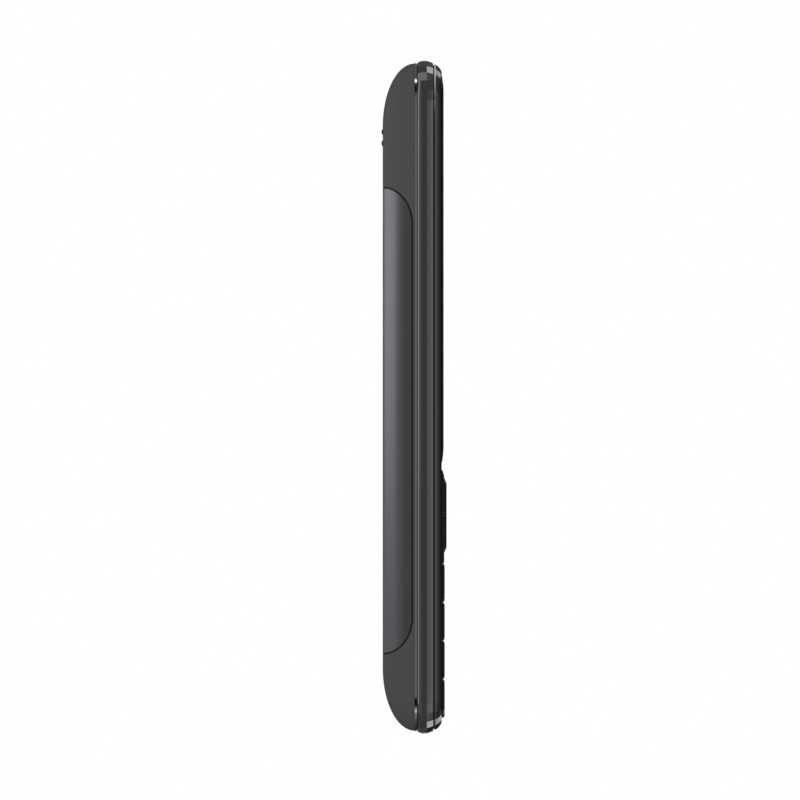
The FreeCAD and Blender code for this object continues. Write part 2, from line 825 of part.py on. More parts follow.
def key_centres():
    """Where a dome sits under each key, and under the four sides of the navigation ring."""
    centres = []
    for row in range(number_rows):
        for column in range(number_columns):
            x0, x1, z0, z1 = number_cell(row, column)
            centres.append(((x0 + x1) / 2, (z0 + z1) / 2))
    side_x = (nav_width / 2 + key_half_width) / 2
    for z in ((side_key_split + key_field_top) / 2, (keypad_top + side_key_split) / 2):
        centres += [(-side_x, z), (side_x, z)]
    centres += [(-nav_dome_x, nav_centre), (nav_dome_x, nav_centre), (0, nav_centre)]
    return centres + [(0, nav_centre - nav_dome_z), (0, nav_centre + nav_dome_z)]


def make_keymat():
    back = key_back - mat_thickness
    half = half_width - mat_side_in
    foot = corner_radius - mat_side_in
    parts = [slab(-half, half, mat_side_in, mat_top, (foot, foot, key_corner, key_corner), back, key_back)]
    dome_top = board_front + dome_foil + dome_height
    for x, z in key_centres():
        parts.append(disc(x, z, nub_radius, dome_top + nub_clearance, back))
    pitch_x = (2 * key_half_width + key_gap) / number_columns
    pitch_z = (keypad_top - keypad_bottom) / number_rows
    for x in (-pitch_x / 2, pitch_x / 2):
        for row in range(number_rows):
            parts.append(disc(x, keypad_top - row * pitch_z, pillar_radius, board_front + dome_foil, back))
    return fuse_all(parts)


def make_dome_sheet():
    half = dome_foil_half
    low, high = keypad_bottom + key_gap, mat_top - key_gap
    parts = [box(-half, half, board_front, board_front + dome_foil, low, high)]
    for x, z in key_centres():
        parts.append(Part.makeCone(dome_radius, dome_top_radius, dome_height,
                                   V(x, at(board_front + dome_foil), z), V(0, -1, 0)))
    return fuse_all(parts)


# --- sound -------------------------------------------------------------------------------------------
def grille_plate(grow, back, front):
    half = grille_width / 2 + grow
    high = grille_height / 2 + grow
    return slab(grille_x - half, grille_x + half, grille_z - high, grille_z + high, high * slot_round,
                back, front)


def make_speaker_grille():
    parts = [grille_plate(0, 0, grille_thickness)]
    r = rib_height / 2
    for side in (-1, 1):
        z = grille_z + side * rib_pitch / 2
        rib = slab(grille_x - rib_width / 2, grille_x + rib_width / 2, z - r, z + r, r * slot_round,
                   -rib_proud, 0)
        parts.append(round_face(rib, -rib_proud, rib_edge_radius))
    grille = fuse_all(parts)
    s = slot_height / 2
    slots = []
    for z in (grille_z - rib_pitch, grille_z, grille_z + rib_pitch):
        reach = slot_width / 2
        slots.append(slab(grille_x - reach, grille_x + reach, z - s, z + s, s * slot_round, -1, far))
    return cut_all(grille, slots)


def make_speaker_mesh():
    back = grille_thickness + fitting_gap
    return grille_plate(-grille_clearance, back, back + mesh_thickness)


def make_loudspeaker():
    back = grille_thickness + mesh_thickness + 2 * fitting_gap
    half, high = speaker_width / 2, speaker_height / 2
    body = slab(grille_x - half, grille_x + half, speaker_z - high, speaker_z + high, speaker_corner,
                back, back + speaker_thickness)
    magnet = disc(grille_x, speaker_z, magnet_radius, back + speaker_thickness, board_back - fitting_gap)
    return body.fuse(magnet).removeSplitter()


def make_earpiece():
    half, high = earpiece_width / 2, earpiece_height / 2
    back = board_front + fitting_gap
    return slab(-half, half, earpiece_z - high, earpiece_z + high, earpiece_corner,
                back, back + earpiece_thickness)


def make_earpiece_mesh():
    half = ear_slot_width / 2 + ear_mesh_margin
    high = ear_slot_height / 2 + ear_mesh_margin
    front = lens_ledge - fitting_gap
    return box(-half, half, front - mesh_thickness, front, earpiece_z - high, earpiece_z + high)


def make_microphone():
    return disc(microphone_x, microphone_z, microphone_radius, board_back - microphone_thickness, board_back)


# --- camera ------------------------------------------------------------------------------------------
def make_camera_ring():
    ring = disc(camera_x, camera_z, camera_ring_radius, 0, camera_ring_thickness)
    ring = round_face(ring, 0, camera_ring_edge)
    return ring.cut(disc(camera_x, camera_z, camera_ring_radius - camera_ring_wall, -1, far))


def make_camera_window():
    radius = camera_ring_radius - camera_ring_wall
    return disc(camera_x, camera_z, radius, window_back, window_back + window_thickness)


def make_camera_module():
    half = camera_side / 2
    body_back = camera_back + barrel_thickness
    body = box(camera_x - half, camera_x + half, body_back, board_back, camera_z - half, camera_z + half)
    barrel = disc(camera_x, camera_z, barrel_radius, camera_back, body_back)
    pupil = disc(camera_x, camera_z, pupil_radius, 0, camera_back + pupil_depth)
    return body.fuse(barrel).removeSplitter().cut(pupil)


# --- sockets -----------------------------------------------------------------------------------------
def make_headset_jack():
    half = jack_width / 2
    t = jack_half_thickness
    body = box(jack_x - half, jack_x + half, jack_depth - t, board_back, jack_top - jack_length, jack_top)
    return body.cut(upright(jack_x, jack_depth, jack_bore_radius, jack_top - jack_bore_length, far * 3))


def make_usb_socket():
    half = usb_width / 2
    front = usb_back + usb_thickness
    top = usb_bottom + usb_length
    w = usb_wall
    shell = box(-half, half, usb_back, front, usb_bottom, top)
    shell = shell.cut(box(w - half, half - w, usb_back + w, front - w, -1, top - w))
    middle = usb_back + usb_thickness / 2
    across = usb_tongue_width / 2
    tongue = box(-across, across, middle - usb_tongue / 2, middle + usb_tongue / 2,
                 usb_bottom + usb_tongue_in, top)
    parts = [shell, tongue]
    for x in (-half, half - usb_leg):
        for z in (usb_bottom + usb_tongue_in, top - usb_leg):
            parts.append(box(x, x + usb_leg, front, board_back, z, z + usb_leg))
    return fuse_all(parts)


# --- antenna and alert -------------------------------------------------------------------------------
def make_antenna_carrier():
    return box(carrier_left, carrier_right, carrier_back, board_back,
               carrier_top - carrier_height, carrier_top)


def make_antenna():
    m = antenna_margin
    x0, x1 = carrier_left + m, carrier_right - m
    z0, z1 = carrier_top - carrier_height + m, carrier_top - m
    foil = box(x0, x1, carrier_back - antenna_thickness, carrier_back, z0, z1)
    cuts = []
    for i in range(antenna_slots):
        x = x0 + (i + 1) * (x1 - x0) / (antenna_slots + 1)
        low, high = (z0 - 1, z1 - 2 * m) if i % 2 == 0 else (z0 + 2 * m, z1 + 1)
        cuts.append(box(x - antenna_slot_width / 2, x + antenna_slot_width / 2, 0, far, low, high))
    return cut_all(foil, cuts)


def lengthwise(x0, x1, radius):
    """Cylinder on the vibration motor's axis, which runs across the phone."""
    return Part.makeCylinder(radius, x1 - x0, V(x0, at(motor_depth), motor_z), V(1, 0, 0))


def make_vibration_motor():
    end = motor_left + motor_length
    tip = end + weight_gap + weight_length
    cradle = box(motor_left + weight_gap, end - weight_gap, motor_depth, board_back,
                 motor_z - cradle_height / 2, motor_z + cradle_height / 2)
    return fuse_all([lengthwise(motor_left, end, motor_radius), lengthwise(end, tip, shaft_radius), cradle])


def make_motor_weight():
    start = motor_left + motor_length + weight_gap
    end = start + weight_length
    disc_part = lengthwise(start, end, weight_radius)
    lower = Part.makeBox(weight_length, far, far, V(start, -far / 2, motor_z - far - shaft_radius))
    sector = disc_part.common(lower)
    collar = lengthwise(start, end, collar_radius)
    bore = lengthwise(start - 1, end + 1, shaft_radius + weight_bore_clearance)
    return sector.fuse(collar).removeSplitter().cut(bore)


makers = {
    "rear_case": make_rear_case,
    "battery_cover": make_battery_cover,
    "trim_ring": make_trim_ring,
    "mid_frame": make_mid_frame,
    "front_frame": make_front_frame,
    "case_screws": make_case_screws,
    "display_lens": make_display_lens,
    "lcd_backlight": make_lcd_backlight,
    "lcd_glass": make_lcd_glass,
    "lcd_gasket": make_lcd_gasket,
    "lcd_flex": make_lcd_flex,
    "main_board": make_main_board,
    "battery": make_battery,
    "battery_contacts": make_battery_contacts,
    "sim_holder": lambda: make_card_holder(0, sim_thickness),
    "sim_card": lambda: make_card(0, sim_width, sim_thickness),
    "memory_card_holder": lambda: make_card_holder(1, memory_thickness),
    "memory_card": lambda: make_card(1, memory_width, memory_thickness),
    "shield_can_lower": lambda: make_shield_can(0),
    "shield_can_upper": lambda: make_shield_can(1),
    "processor_chip": make_processor_chip,
    "soft_key_left": lambda: make_side_key(-1, True),
    "soft_key_right": lambda: make_side_key(1, True),
    "call_key": lambda: make_side_key(-1, False),
    "end_key": lambda: make_side_key(1, False),
    "nav_ring": make_nav_ring,
    "nav_hub": make_nav_hub,
    "ok_key": make_ok_key,
    "keymat": make_keymat,
    "dome_sheet": make_dome_sheet,
    "speaker_grille": make_speaker_grille,
    "speaker_mesh": make_speaker_mesh,
    "loudspeaker": make_loudspeaker,
    "earpiece": make_earpiece,
    "earpiece_mesh": make_earpiece_mesh,
    "microphone": make_microphone,
    "camera_ring": make_camera_ring,
    "camera_window": make_camera_window,
    "camera_module": make_camera_module,
    "headset_jack": make_headset_jack,
    "usb_socket": make_usb_socket,
    "antenna_carrier": make_antenna_carrier,
    "antenna": make_antenna,
    "vibration_motor": make_vibration_motor,
    "motor_weight": make_motor_weight,
}
key_names = (("key_1", "key_2", "key_3"), ("key_4", "key_5", "key_6"), ("key_7", "key_8", "key_9"),
             ("key_star", "key_0", "key_hash"))
for row_number, row_names in enumerate(key_names):
    for column_number, key_name in enumerate(row_names):
        makers[key_name] = lambda r=row_number, c=column_number: make_number_key(r, c)

os.makedirs("parts", exist_ok=True)
for node, make in makers.items():
    shape = make()
    shape.exportStep("parts/" + node + ".step")
    print(node, len(shape.Solids), round(shape.Volume, 2), shape.isValid())
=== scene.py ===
import math

import bmesh
import bpy
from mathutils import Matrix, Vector


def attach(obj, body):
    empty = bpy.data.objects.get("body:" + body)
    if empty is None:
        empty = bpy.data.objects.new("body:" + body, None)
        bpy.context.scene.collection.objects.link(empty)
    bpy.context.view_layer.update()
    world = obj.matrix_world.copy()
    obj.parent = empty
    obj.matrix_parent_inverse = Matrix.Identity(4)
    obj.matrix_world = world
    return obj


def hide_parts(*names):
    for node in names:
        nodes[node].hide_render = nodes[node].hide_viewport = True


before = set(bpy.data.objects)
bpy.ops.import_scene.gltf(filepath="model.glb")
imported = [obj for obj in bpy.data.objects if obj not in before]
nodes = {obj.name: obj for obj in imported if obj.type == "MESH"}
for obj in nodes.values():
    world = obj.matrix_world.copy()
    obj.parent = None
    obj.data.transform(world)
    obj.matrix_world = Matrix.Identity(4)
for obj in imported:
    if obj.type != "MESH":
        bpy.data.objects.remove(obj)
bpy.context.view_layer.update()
mm = 0.001


# --- Studio ---------------------------------------------------------------
# A pale floor in white surroundings, with one broad lamp beside the phone's front and a weaker one beside
# its back. What gloss and metal mirror is a tent painted in greys round the phone, with a few light cards
# for its corners and its cover.
scene = bpy.context.scene
scene.view_settings.view_transform = "Standard"
bpy.ops.object.select_all(action="DESELECT")
middle = (0, 0, 0.06)

bpy.ops.object.camera_add(location=(-0.6, 0.002513, 0.059487), rotation=(math.pi / 2, 0, -math.pi / 2))
camera = bpy.context.object
camera.data.type = "ORTHO"
camera.data.ortho_scale = 0.14275
camera.data.clip_start = 0.01
camera.data.clip_end = 20
scene.camera = camera

sky = bpy.data.worlds.new("white_studio")
scene.world = sky
sky.use_nodes = True
sky_tree = sky.node_tree
soft_light = sky_tree.nodes["Background"]
soft_light.inputs["Color"].default_value = (1, 1, 1, 1)
soft_light.inputs["Strength"].default_value = 0.8
white_back = sky_tree.nodes.new("ShaderNodeBackground")
white_back.inputs["Color"].default_value = (1, 1, 1, 1)
white_back.inputs["Strength"].default_value = 1.0

# The camera, mirrors and glass see full white. All other rays meet the softer light.
path = sky_tree.nodes.new("ShaderNodeLightPath")
seen = path.outputs["Is Camera Ray"]
for ray in ("Is Glossy Ray", "Is Transmission Ray"):
    either = sky_tree.nodes.new("ShaderNodeMath")
    either.operation = "MAXIMUM"
    sky_tree.links.new(seen, either.inputs[0])
    sky_tree.links.new(path.outputs[ray], either.inputs[1])
    seen = either.outputs[0]
mix = sky_tree.nodes.new("ShaderNodeMixShader")
sky_tree.links.new(seen, mix.inputs["Fac"])
sky_tree.links.new(soft_light.outputs[0], mix.inputs[1])
sky_tree.links.new(white_back.outputs[0], mix.inputs[2])
sky_tree.links.new(mix.outputs[0], sky_tree.nodes["World Output"].inputs["Surface"])

bpy.ops.mesh.primitive_plane_add(size=60, location=(0, 0, 0))
floor = bpy.context.object
floor.name = "studio_floor"
floor.visible_glossy = False
floor_paint = bpy.data.materials.new("floor_paint")
floor_paint.use_nodes = True
floor_shader = floor_paint.node_tree.nodes["Principled BSDF"]
floor_shader.inputs["Base Color"].default_value = (0.86, 0.86, 0.86, 1)
floor_shader.inputs["Roughness"].default_value = 0.9
floor_shader.inputs["Emission Color"].default_value = (1, 1, 1, 1)
floor_shader.inputs["Emission Strength"].default_value = 0.36
floor.data.materials.append(floor_paint)


def for_mirrors(sheet, level):
    """Makes a sheet that only mirrors and glass see, as bright as the given level or its own points'."""
    sheet.visible_camera = False
    sheet.visible_diffuse = False
    sheet.visible_shadow = False
    paper = bpy.data.materials.new(sheet.name)
    paper.use_nodes = True
    glow = paper.node_tree.nodes.new("ShaderNodeEmission")
    if level is None:
        own = paper.node_tree.nodes.new("ShaderNodeAttribute")
        own.attribute_name = "level"
        paper.node_tree.links.new(own.outputs["Fac"], glow.inputs["Strength"])
    else:
        glow.inputs["Strength"].default_value = level
    paper.node_tree.links.new(glow.outputs[0], paper.node_tree.nodes["Material Output"].inputs["Surface"])
    sheet.data.materials.append(paper)


# The tent's greys are given by the angle in degrees round the phone, from nought behind the camera over
# the back of the phone to 180, and over its front to -180. Towards the poles they fade to one grey, late
# round the low end and early beside the front of the top end.
greys = (
    (-180, 0.05), (-140, 0.03), (-115, 0.08), (-88, 0.27), (-70, 0.5), (-62, 0.8), (-55, 0.74), (-39, 0.47),
    (-25, 0.38), (-12, 0.24), (0, 0.2), (15, 0.25), (31, 0.33), (52, 0.38), (135, 0.38), (150, 0.13),
    (180, 0.13))
pole_grey = 0.2
tent_radius = 2.5
bpy.ops.mesh.primitive_uv_sphere_add(segments=72, ring_count=36, radius=tent_radius, location=middle)
tent = bpy.context.object
tent.name = "light_tent"
level_of = tent.data.attributes.new("level", "FLOAT", "POINT")
for point in tent.data.vertices:
    angle = math.degrees(math.atan2(point.co.y, -point.co.x))
    for (low, low_grey), (high, high_grey) in zip(greys, greys[1:]):
        if low <= angle <= high:
            grey = low_grey + (high_grey - low_grey) * (angle - low) / (high - low)
    if point.co.z < 0 and angle < 60:
        fade_start, fade_span = 0.75, 0.34
    elif -60 < angle < -10:
        fade_start, fade_span = 0.03, 0.3
    else:
        fade_start, fade_span = 0.26, 0.34
    fade = min(1.0, max(0.0, (abs(point.co.z) / tent_radius - fade_start) / fade_span))
    level_of.data[point.index].value = grey + (pole_grey - grey) * fade
for_mirrors(tent, None)


def card(name, level, columns):
    """Light card whose places are given in columns that run along it."""
    bpy.ops.mesh.primitive_grid_add(x_subdivisions=1, y_subdivisions=len(columns) - 1, size=1)
    sheet = bpy.context.object
    sheet.name = name
    for point, place in zip(sheet.data.vertices, [place for column in columns for place in column]):
        point.co = place
    for_mirrors(sheet, level)


def seen_in(slope, turn, end):
    """Place half a metre away that the camera sees in a corner's facet of this slope and turn."""
    away = 0.5
    corner_x, corner_y, corner_z = -0.021, -0.003, 0.055
    slope, turn = math.radians(slope), math.radians(turn)
    return (away * (1 - 2 * math.cos(slope) ** 2 * math.cos(turn) ** 2) + corner_x,
            -away * math.sin(2 * slope) * math.cos(turn) + corner_y,
            middle[2] + end * (corner_z + away * math.cos(slope) ** 2 * math.sin(2 * turn)))


# Each corner card fills what one group of facets mirrors, at the top end (1) or the low end (-1).
for end, name, level, slopes, turns in (
    (1, "front_light_top", 2.2, range(14, 59, 4), (44.5, 59)),
    (1, "back_light_top", 0.9, range(4, -45, -6), (34, 42)),
    (1, "spark_light_top", 3.5, (15, 5), (28.5, 34)),
    (1, "spark_shade_top", 0.0, (13, 7), (12, 26)),
    (-1, "front_light_low", 2.2, range(14, 67, 4), (44.5, 59)),
    (-1, "spark_light_low", 1.3, (15, 5), (23.5, 30.5)),
    (-1, "spark_shade_low", 0.0, (13, 7), (6, 19)),
):
    card(name, level, [[seen_in(slope, turn, end) for turn in turns] for slope in slopes])
card("cover_light", 1.1, [[(x, 0.15, z) for z in (0.045, 0.3)] for x in (-0.14, 0.1)])

for name, place, size, power in (
    ("front_lamp", (-0.7, -0.9, 0.42), 0.9, 2.6),
    ("back_lamp", (-0.8, 0.7, 0.36), 0.8, 1.7),
):
    bpy.ops.object.light_add(type="AREA", location=place)
    lamp = bpy.context.object
    lamp.name = name
    lamp.data.size = size
    lamp.data.energy = power
    lamp.visible_glossy = False
    lamp.rotation_euler = (Vector(middle) - Vector(place)).to_track_quat("-Z", "Y").to_euler()


# --- Rear case ------------------------------------------------------------
# Moulded plastic tub that wraps round the back and both ends. Its tool was spark eroded, so the outside
# is evenly matt with a very fine grain. The card and battery bays are part of the same moulding.
def effect_group(name, inputs, build):
    """Node group whose outputs Height and Mottle the given function makes from the place on the piece."""
    group = bpy.data.node_groups.new(name, "ShaderNodeTree")
    for label, value in inputs.items():
        socket = group.interface.new_socket(name=label, in_out="INPUT", socket_type="NodeSocketFloat")
        socket.default_value = value
    for label in ("Height", "Mottle"):
        group.interface.new_socket(name=label, in_out="OUTPUT", socket_type="NodeSocketFloat")
    given = group.nodes.new("NodeGroupInput")
    result = group.nodes.new("NodeGroupOutput")
    place = group.nodes.new("ShaderNodeTexCoord")
    height, mottle = build(group, given, place.outputs["Object"])
    group.links.new(height, result.inputs["Height"])
    group.links.new(mottle, result.inputs["Mottle"])
    return group


def noise(group, vector, scale, detail=2.0, rough=0.5):
    """Cloudy pattern whose scale comes from one of the group's inputs."""
    cloud = group.nodes.new("ShaderNodeTexNoise")
    cloud.inputs["Detail"].default_value = detail
    cloud.inputs["Roughness"].default_value = rough
    group.links.new(vector, cloud.inputs["Vector"])
    group.links.new(scale, cloud.inputs["Scale"])
    return cloud.outputs["Fac"]


def build_moulded(group, given, place):
    """Fine even grain, and a slow mottle."""
    return (noise(group, place, given.outputs["Grain scale"]),
            noise(group, place, given.outputs["Mottle scale"]))


moulded = effect_group("moulded_grain", {"Grain scale": 4200.0, "Mottle scale": 90.0}, build_moulded)


def finish(name, effect, values, colour, change, roughness, spread, metallic=0.0, bump=0.0, depth=0.01,
           **sockets):
    """Material whose colour and roughness follow the effect's mottle and whose bump follows its height.

    The colour changes by a share of itself, and the roughness by the spread while the mottle goes from 0.3 to
    0.7, between which a noise mostly stays. The bump's depth is in millimetres.
    """
    material = bpy.data.materials.new(name)
    material.use_nodes = True
    tree = material.node_tree
    shader = tree.nodes["Principled BSDF"]
    shader.inputs["Metallic"].default_value = metallic
    for label, value in sockets.items():
        shader.inputs[label.replace("_", " ")].default_value = value
    group = tree.nodes.new("ShaderNodeGroup")
    group.node_tree = effect
    for label, value in values.items():
        group.inputs[label].default_value = value
    tint = tree.nodes.new("ShaderNodeMix")
    tint.data_type = "RGBA"
    first_colour, second_colour, mixed_colour = tint.inputs[6], tint.inputs[7], tint.outputs[2]
    first_colour.default_value = [c * (1 - change) for c in colour] + [1]
    second_colour.default_value = [c * (1 + change) for c in colour] + [1]
    tree.links.new(group.outputs["Mottle"], tint.inputs["Factor"])
    tree.links.new(mixed_colour, shader.inputs["Base Color"])
    matt = tree.nodes.new("ShaderNodeMapRange")
    matt.inputs["From Min"].default_value = 0.3
    matt.inputs["From Max"].default_value = 0.7
    matt.inputs["To Min"].default_value = roughness - spread
    matt.inputs["To Max"].default_value = roughness + spread
    tree.links.new(group.outputs["Mottle"], matt.inputs["Value"])
    tree.links.new(matt.outputs["Result"], shader.inputs["Roughness"])
    if bump:
        relief = tree.nodes.new("ShaderNodeBump")
        relief.inputs["Strength"].default_value = bump
        relief.inputs["Distance"].default_value = depth * mm
        tree.links.new(group.outputs["Height"], relief.inputs["Height"])
        tree.links.new(relief.outputs["Normal"], shader.inputs["Normal"])
    return material


def wear(material, *names):
    """Gives CAD nodes their finish."""
    for name in names:
        for slot in nodes[name].material_slots:
            slot.material = material


rear_plastic = finish("rear_plastic", moulded, {}, (0.056, 0.056, 0.057), 0.03, 0.62, 0.03, bump=0.25,
                      depth=0.02, Specular_IOR_Level=0.15)
wear(rear_plastic, "rear_case")


# --- Battery cover --------------------------------------------------------
# Pressed aluminium shell, blasted and anodised blue grey, that wraps round both long edges of the back.
# It is cut from the same rounded form as the case, 1 mm thick, with its edges broken all round.
half_width, length, corner = 25.5, 120, 7
back_face = 5.6


def y_of(depth):
    """Place along Y of a depth, which is counted in millimetres from the flat back to the front."""
    return (back_face - depth) * mm


def pick(points):
    """Selects only these points of the piece in edit mode, with the edges and faces between them."""
    mesh = bmesh.from_edit_mesh(bpy.context.object.data)
    mesh.verts.ensure_lookup_table()
    for element in (*mesh.faces, *mesh.edges, *mesh.verts):
        element.select = False
    for index in points:
        mesh.verts[index].select = True
    mesh.select_flush(True)
    bmesh.update_edit_mesh(bpy.context.object.data)


def chosen():
    """Numbers of the points that are selected in edit mode."""
    mesh = bmesh.from_edit_mesh(bpy.context.object.data)
    mesh.verts.index_update()
    return [point.index for point in mesh.verts if point.select]


def make_active(piece):
    """Selects this piece alone and makes it the active one."""
    bpy.ops.object.select_all(action="DESELECT")
    piece.select_set(True)
    bpy.context.view_layer.objects.active = piece


def four(radii):
    """The radii of an outline's four corners, which may be given as one number."""
    return radii if isinstance(radii, tuple) else (radii,) * 4


def corners_of(outline):
    """Centre and radius of each corner of an outline (left, right, low, high, radii, depth).

    The corners are the low left, low right, high right and high left one.
    """
    x0, x1, z0, z1, radii, _ = outline
    r = four(radii)
    return ((x0 + r[0], z0 + r[0], r[0]), (x1 - r[1], z0 + r[1], r[1]),
            (x1 - r[2], z1 - r[2], r[2]), (x0 + r[3], z1 - r[3], r[3]))


def corner_number(point, outline):
    """Which of the outline's corners a point belongs to."""
    x0, x1, z0, z1, _, _ = outline
    right = point.x > (x0 + x1) / 2 * mm
    high = point.z > (z0 + z1) / 2 * mm
    return ((0, 1), (3, 2))[high][right]


def reshape(old, new, groups):
    """Takes the loop of points from the old outline to the new one, corner by corner."""
    old_depth, new_depth = old[-1], new[-1]
    for group, (x, z, r), (new_x, new_z, new_r) in zip(groups, corners_of(old), corners_of(new)):
        pick(group)
        share = new_r / r
        if abs(share - 1) > 1e-6:
            pivot = (x * mm, y_of(old_depth), z * mm)
            bpy.ops.transform.resize(value=(share, 1, share), center_override=pivot)
        shift = ((new_x - x) * mm, (old_depth - new_depth) * mm, (new_z - z) * mm)
        if max(abs(s) for s in shift) > 1e-9:
            bpy.ops.transform.translate(value=shift)


def build_up(name, outlines, steps, ring=False):
    """Piece grown outline by outline, with so many steps in each rounded corner.

    A solid keeps the faces at both its ends. A ring runs back into its first outline.
    """
    x0, x1, z0, z1, radii, depth = outlines[0]
    bpy.ops.object.select_all(action="DESELECT")
    centre = ((x0 + x1) / 2 * mm, y_of(depth), (z0 + z1) / 2 * mm)
    bpy.ops.mesh.primitive_plane_add(size=1, location=centre, rotation=(math.pi / 2, 0, 0))
    piece = bpy.context.object
    piece.name = name
    piece.data.name = name
    piece.scale = ((x1 - x0) * mm, (z1 - z0) * mm, 1)
    bpy.ops.object.transform_apply(location=True, rotation=True, scale=True)
    for (x, z), r in zip(((x0, z0), (x1, z0), (x1, z1), (x0, z1)), four(radii)):
        nearest = min(piece.data.vertices, key=lambda v: math.hypot(v.co.x - x * mm, v.co.z - z * mm)).index
        bpy.ops.object.mode_set(mode="EDIT")
        bpy.ops.mesh.select_mode(type="VERT")
        pick([nearest])
        bpy.ops.mesh.bevel(offset=r * mm, offset_type="OFFSET", segments=steps, affect="VERTICES",
                           profile=0.5, clamp_overlap=False)
        bpy.ops.object.mode_set(mode="OBJECT")
    bpy.ops.object.mode_set(mode="EDIT")
    bpy.ops.mesh.select_all(action="SELECT")
    if ring:
        bpy.ops.mesh.delete(type="ONLY_FACE")
        bpy.ops.mesh.select_all(action="SELECT")
    old = outlines[0]
    for new in outlines[1:] + (outlines[:1] if ring else []):
        if ring:
            bpy.ops.mesh.extrude_edges_move()
        else:
            bpy.ops.mesh.extrude_region_move()
        loop = chosen()
        mesh = bmesh.from_edit_mesh(piece.data)
        mesh.verts.ensure_lookup_table()
        groups = [[], [], [], []]
        for index in loop:
            groups[corner_number(mesh.verts[index].co, old)].append(index)
        reshape(old, new, groups)
        pick(loop)
        old = new
    bpy.ops.mesh.select_all(action="SELECT")
    bpy.ops.mesh.remove_doubles(threshold=2e-7)
    bpy.ops.mesh.normals_make_consistent(inside=False)
    bpy.ops.object.mode_set(mode="OBJECT")
    return piece


def phone_outline(side_in, end_in, depth, radius):
    """The phone's outline from the front, with its sides and ends pulled in."""
    return (side_in - half_width, half_width - side_in, end_in, length - end_in, radius, depth)


def back_form(name, inset):
    """Rounded body of the phone's back, pulled in all over by the inset."""
    steps, reach, end_rise, edge_radius, side_room = 16, 5.69, 11.2, 4.3, 0.48
    base = side_room + inset
    r = edge_radius - inset
    outlines = []
    for step in range(steps + 1):
        turn = math.pi / 2 * step / steps
        depth = inset + (reach - inset) * (1 - math.cos(turn))
        end_in = (end_rise - inset) * (1 - math.sin(turn))
        side_in = r - math.sqrt(r ** 2 - max(0.0, r - (depth - inset)) ** 2)
        outlines.append(phone_outline(base + side_in, base + end_in, depth, corner - base))
    return build_up(name, outlines, 12)


def cover_block(name, grow):
    """The cover's outline as seen from the side, grown all round and run right across the phone."""
    low, high, bend, reach = 14.35 - grow, 97.25 + grow, 6.3 + grow, 5.13 + grow
    behind, across = 2, 60
    bpy.ops.object.select_all(action="DESELECT")
    bpy.ops.mesh.primitive_plane_add(size=1, rotation=(0, math.pi / 2, 0))
    block = bpy.context.object
    block.name = name
    block.scale = ((high - low) * mm, (bend + behind) * mm, 1)
    block.location = (-across / 2 * mm, y_of(0) + (behind / 2 - bend / 2) * mm, (low + high) / 2 * mm)
    bpy.ops.object.transform_apply(location=True, rotation=True, scale=True)
    front = [v.index for v in block.data.vertices if v.co.y < y_of(0)]
    bpy.ops.object.mode_set(mode="EDIT")
    pick(front)
    bpy.ops.mesh.bevel(offset=bend * mm, offset_type="OFFSET", segments=18, affect="VERTICES", profile=0.5,
                       clamp_overlap=False)
    bpy.ops.mesh.select_all(action="SELECT")
    bpy.ops.transform.resize(value=(1, reach / bend, 1), center_override=(0, y_of(0), 0))
    bpy.ops.mesh.extrude_region_move(TRANSFORM_OT_translate={"value": (across * mm, 0, 0)})
    bpy.ops.mesh.select_all(action="SELECT")
    bpy.ops.mesh.normals_make_consistent(inside=False)
    bpy.ops.object.mode_set(mode="OBJECT")
    return block


def carve(piece, tool, operation="DIFFERENCE"):
    """Cuts, keeps or adds with another piece, which is then thrown away."""
    make_active(piece)
    cut = piece.modifiers.new("cut", "BOOLEAN")
    cut.operation = operation
    cut.solver = "EXACT"
    cut.object = tool
    bpy.ops.object.modifier_apply(modifier=cut.name)
    bpy.data.objects.remove(tool)


def polish(piece, angle=30, edge=0.0):
    """Breaks the sharp edges, if asked, and shades the piece smoothly with its flats left flat."""
    make_active(piece)
    if edge:
        soften = piece.modifiers.new("soften", "BEVEL")
        soften.width = edge * mm
        soften.segments = 2
        soften.limit_method = "ANGLE"
        soften.angle_limit = math.radians(40)
        soften.use_clamp_overlap = True
        bpy.ops.object.modifier_apply(modifier=soften.name)
    bpy.ops.object.shade_smooth_by_angle(angle=math.radians(angle))
    flats = piece.modifiers.new("flats", "WEIGHTED_NORMAL")
    flats.keep_sharp = True
    bpy.ops.object.modifier_apply(modifier=flats.name)


def coat(piece, *materials):
    """Gives a piece its materials, the first of them all over."""
    piece.data.materials.clear()
    for material in materials:
        piece.data.materials.append(material)


def deliver(piece, body, slot, *replaced):
    """Puts a finished piece on its body and says which CAD nodes it stands for."""
    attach(piece, body)
    if replaced:
        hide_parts(*replaced)


cover_wall, broken_edge = 1.0, 0.06
cover = back_form("battery_cover_shell", 0)
carve(cover, cover_block("outline", 0), "INTERSECT")
carve(cover, back_form("hollow", cover_wall))
polish(cover, 32, broken_edge)
cover_metal = finish("cover_metal", moulded, {"Grain scale": 6000.0}, (0.20, 0.20, 0.216), 0.02, 0.38, 0.02,
                     metallic=1.0, bump=0.08, depth=0.01)
coat(cover, cover_metal)
deliver(cover, "battery_cover", "cover_metal", "battery_cover")

# A lip of the case, near black as painted shade, stands in the gap round the cover, so that no light shows
# through.
cover_gap, lip_overlap, lip_inset, lip_floor = 0.305, 0.005, 0.04, 1.3
lip = back_form("cover_gap_lip", lip_inset)
carve(lip, cover_block("outline", cover_gap), "INTERSECT")
carve(lip, cover_block("outline", -lip_overlap))
carve(lip, back_form("hollow", lip_floor))
polish(lip)
# Near black that stands in for the shade in gaps and seams: painted shade.
painted_shade_black = finish("painted_shade_black", moulded, {}, (0.008, 0.008, 0.009), 0.1, 0.7, 0.05, Specular_IOR_Level=0.1)
coat(lip, painted_shade_black)
deliver(lip, "root", "rubber_grey")


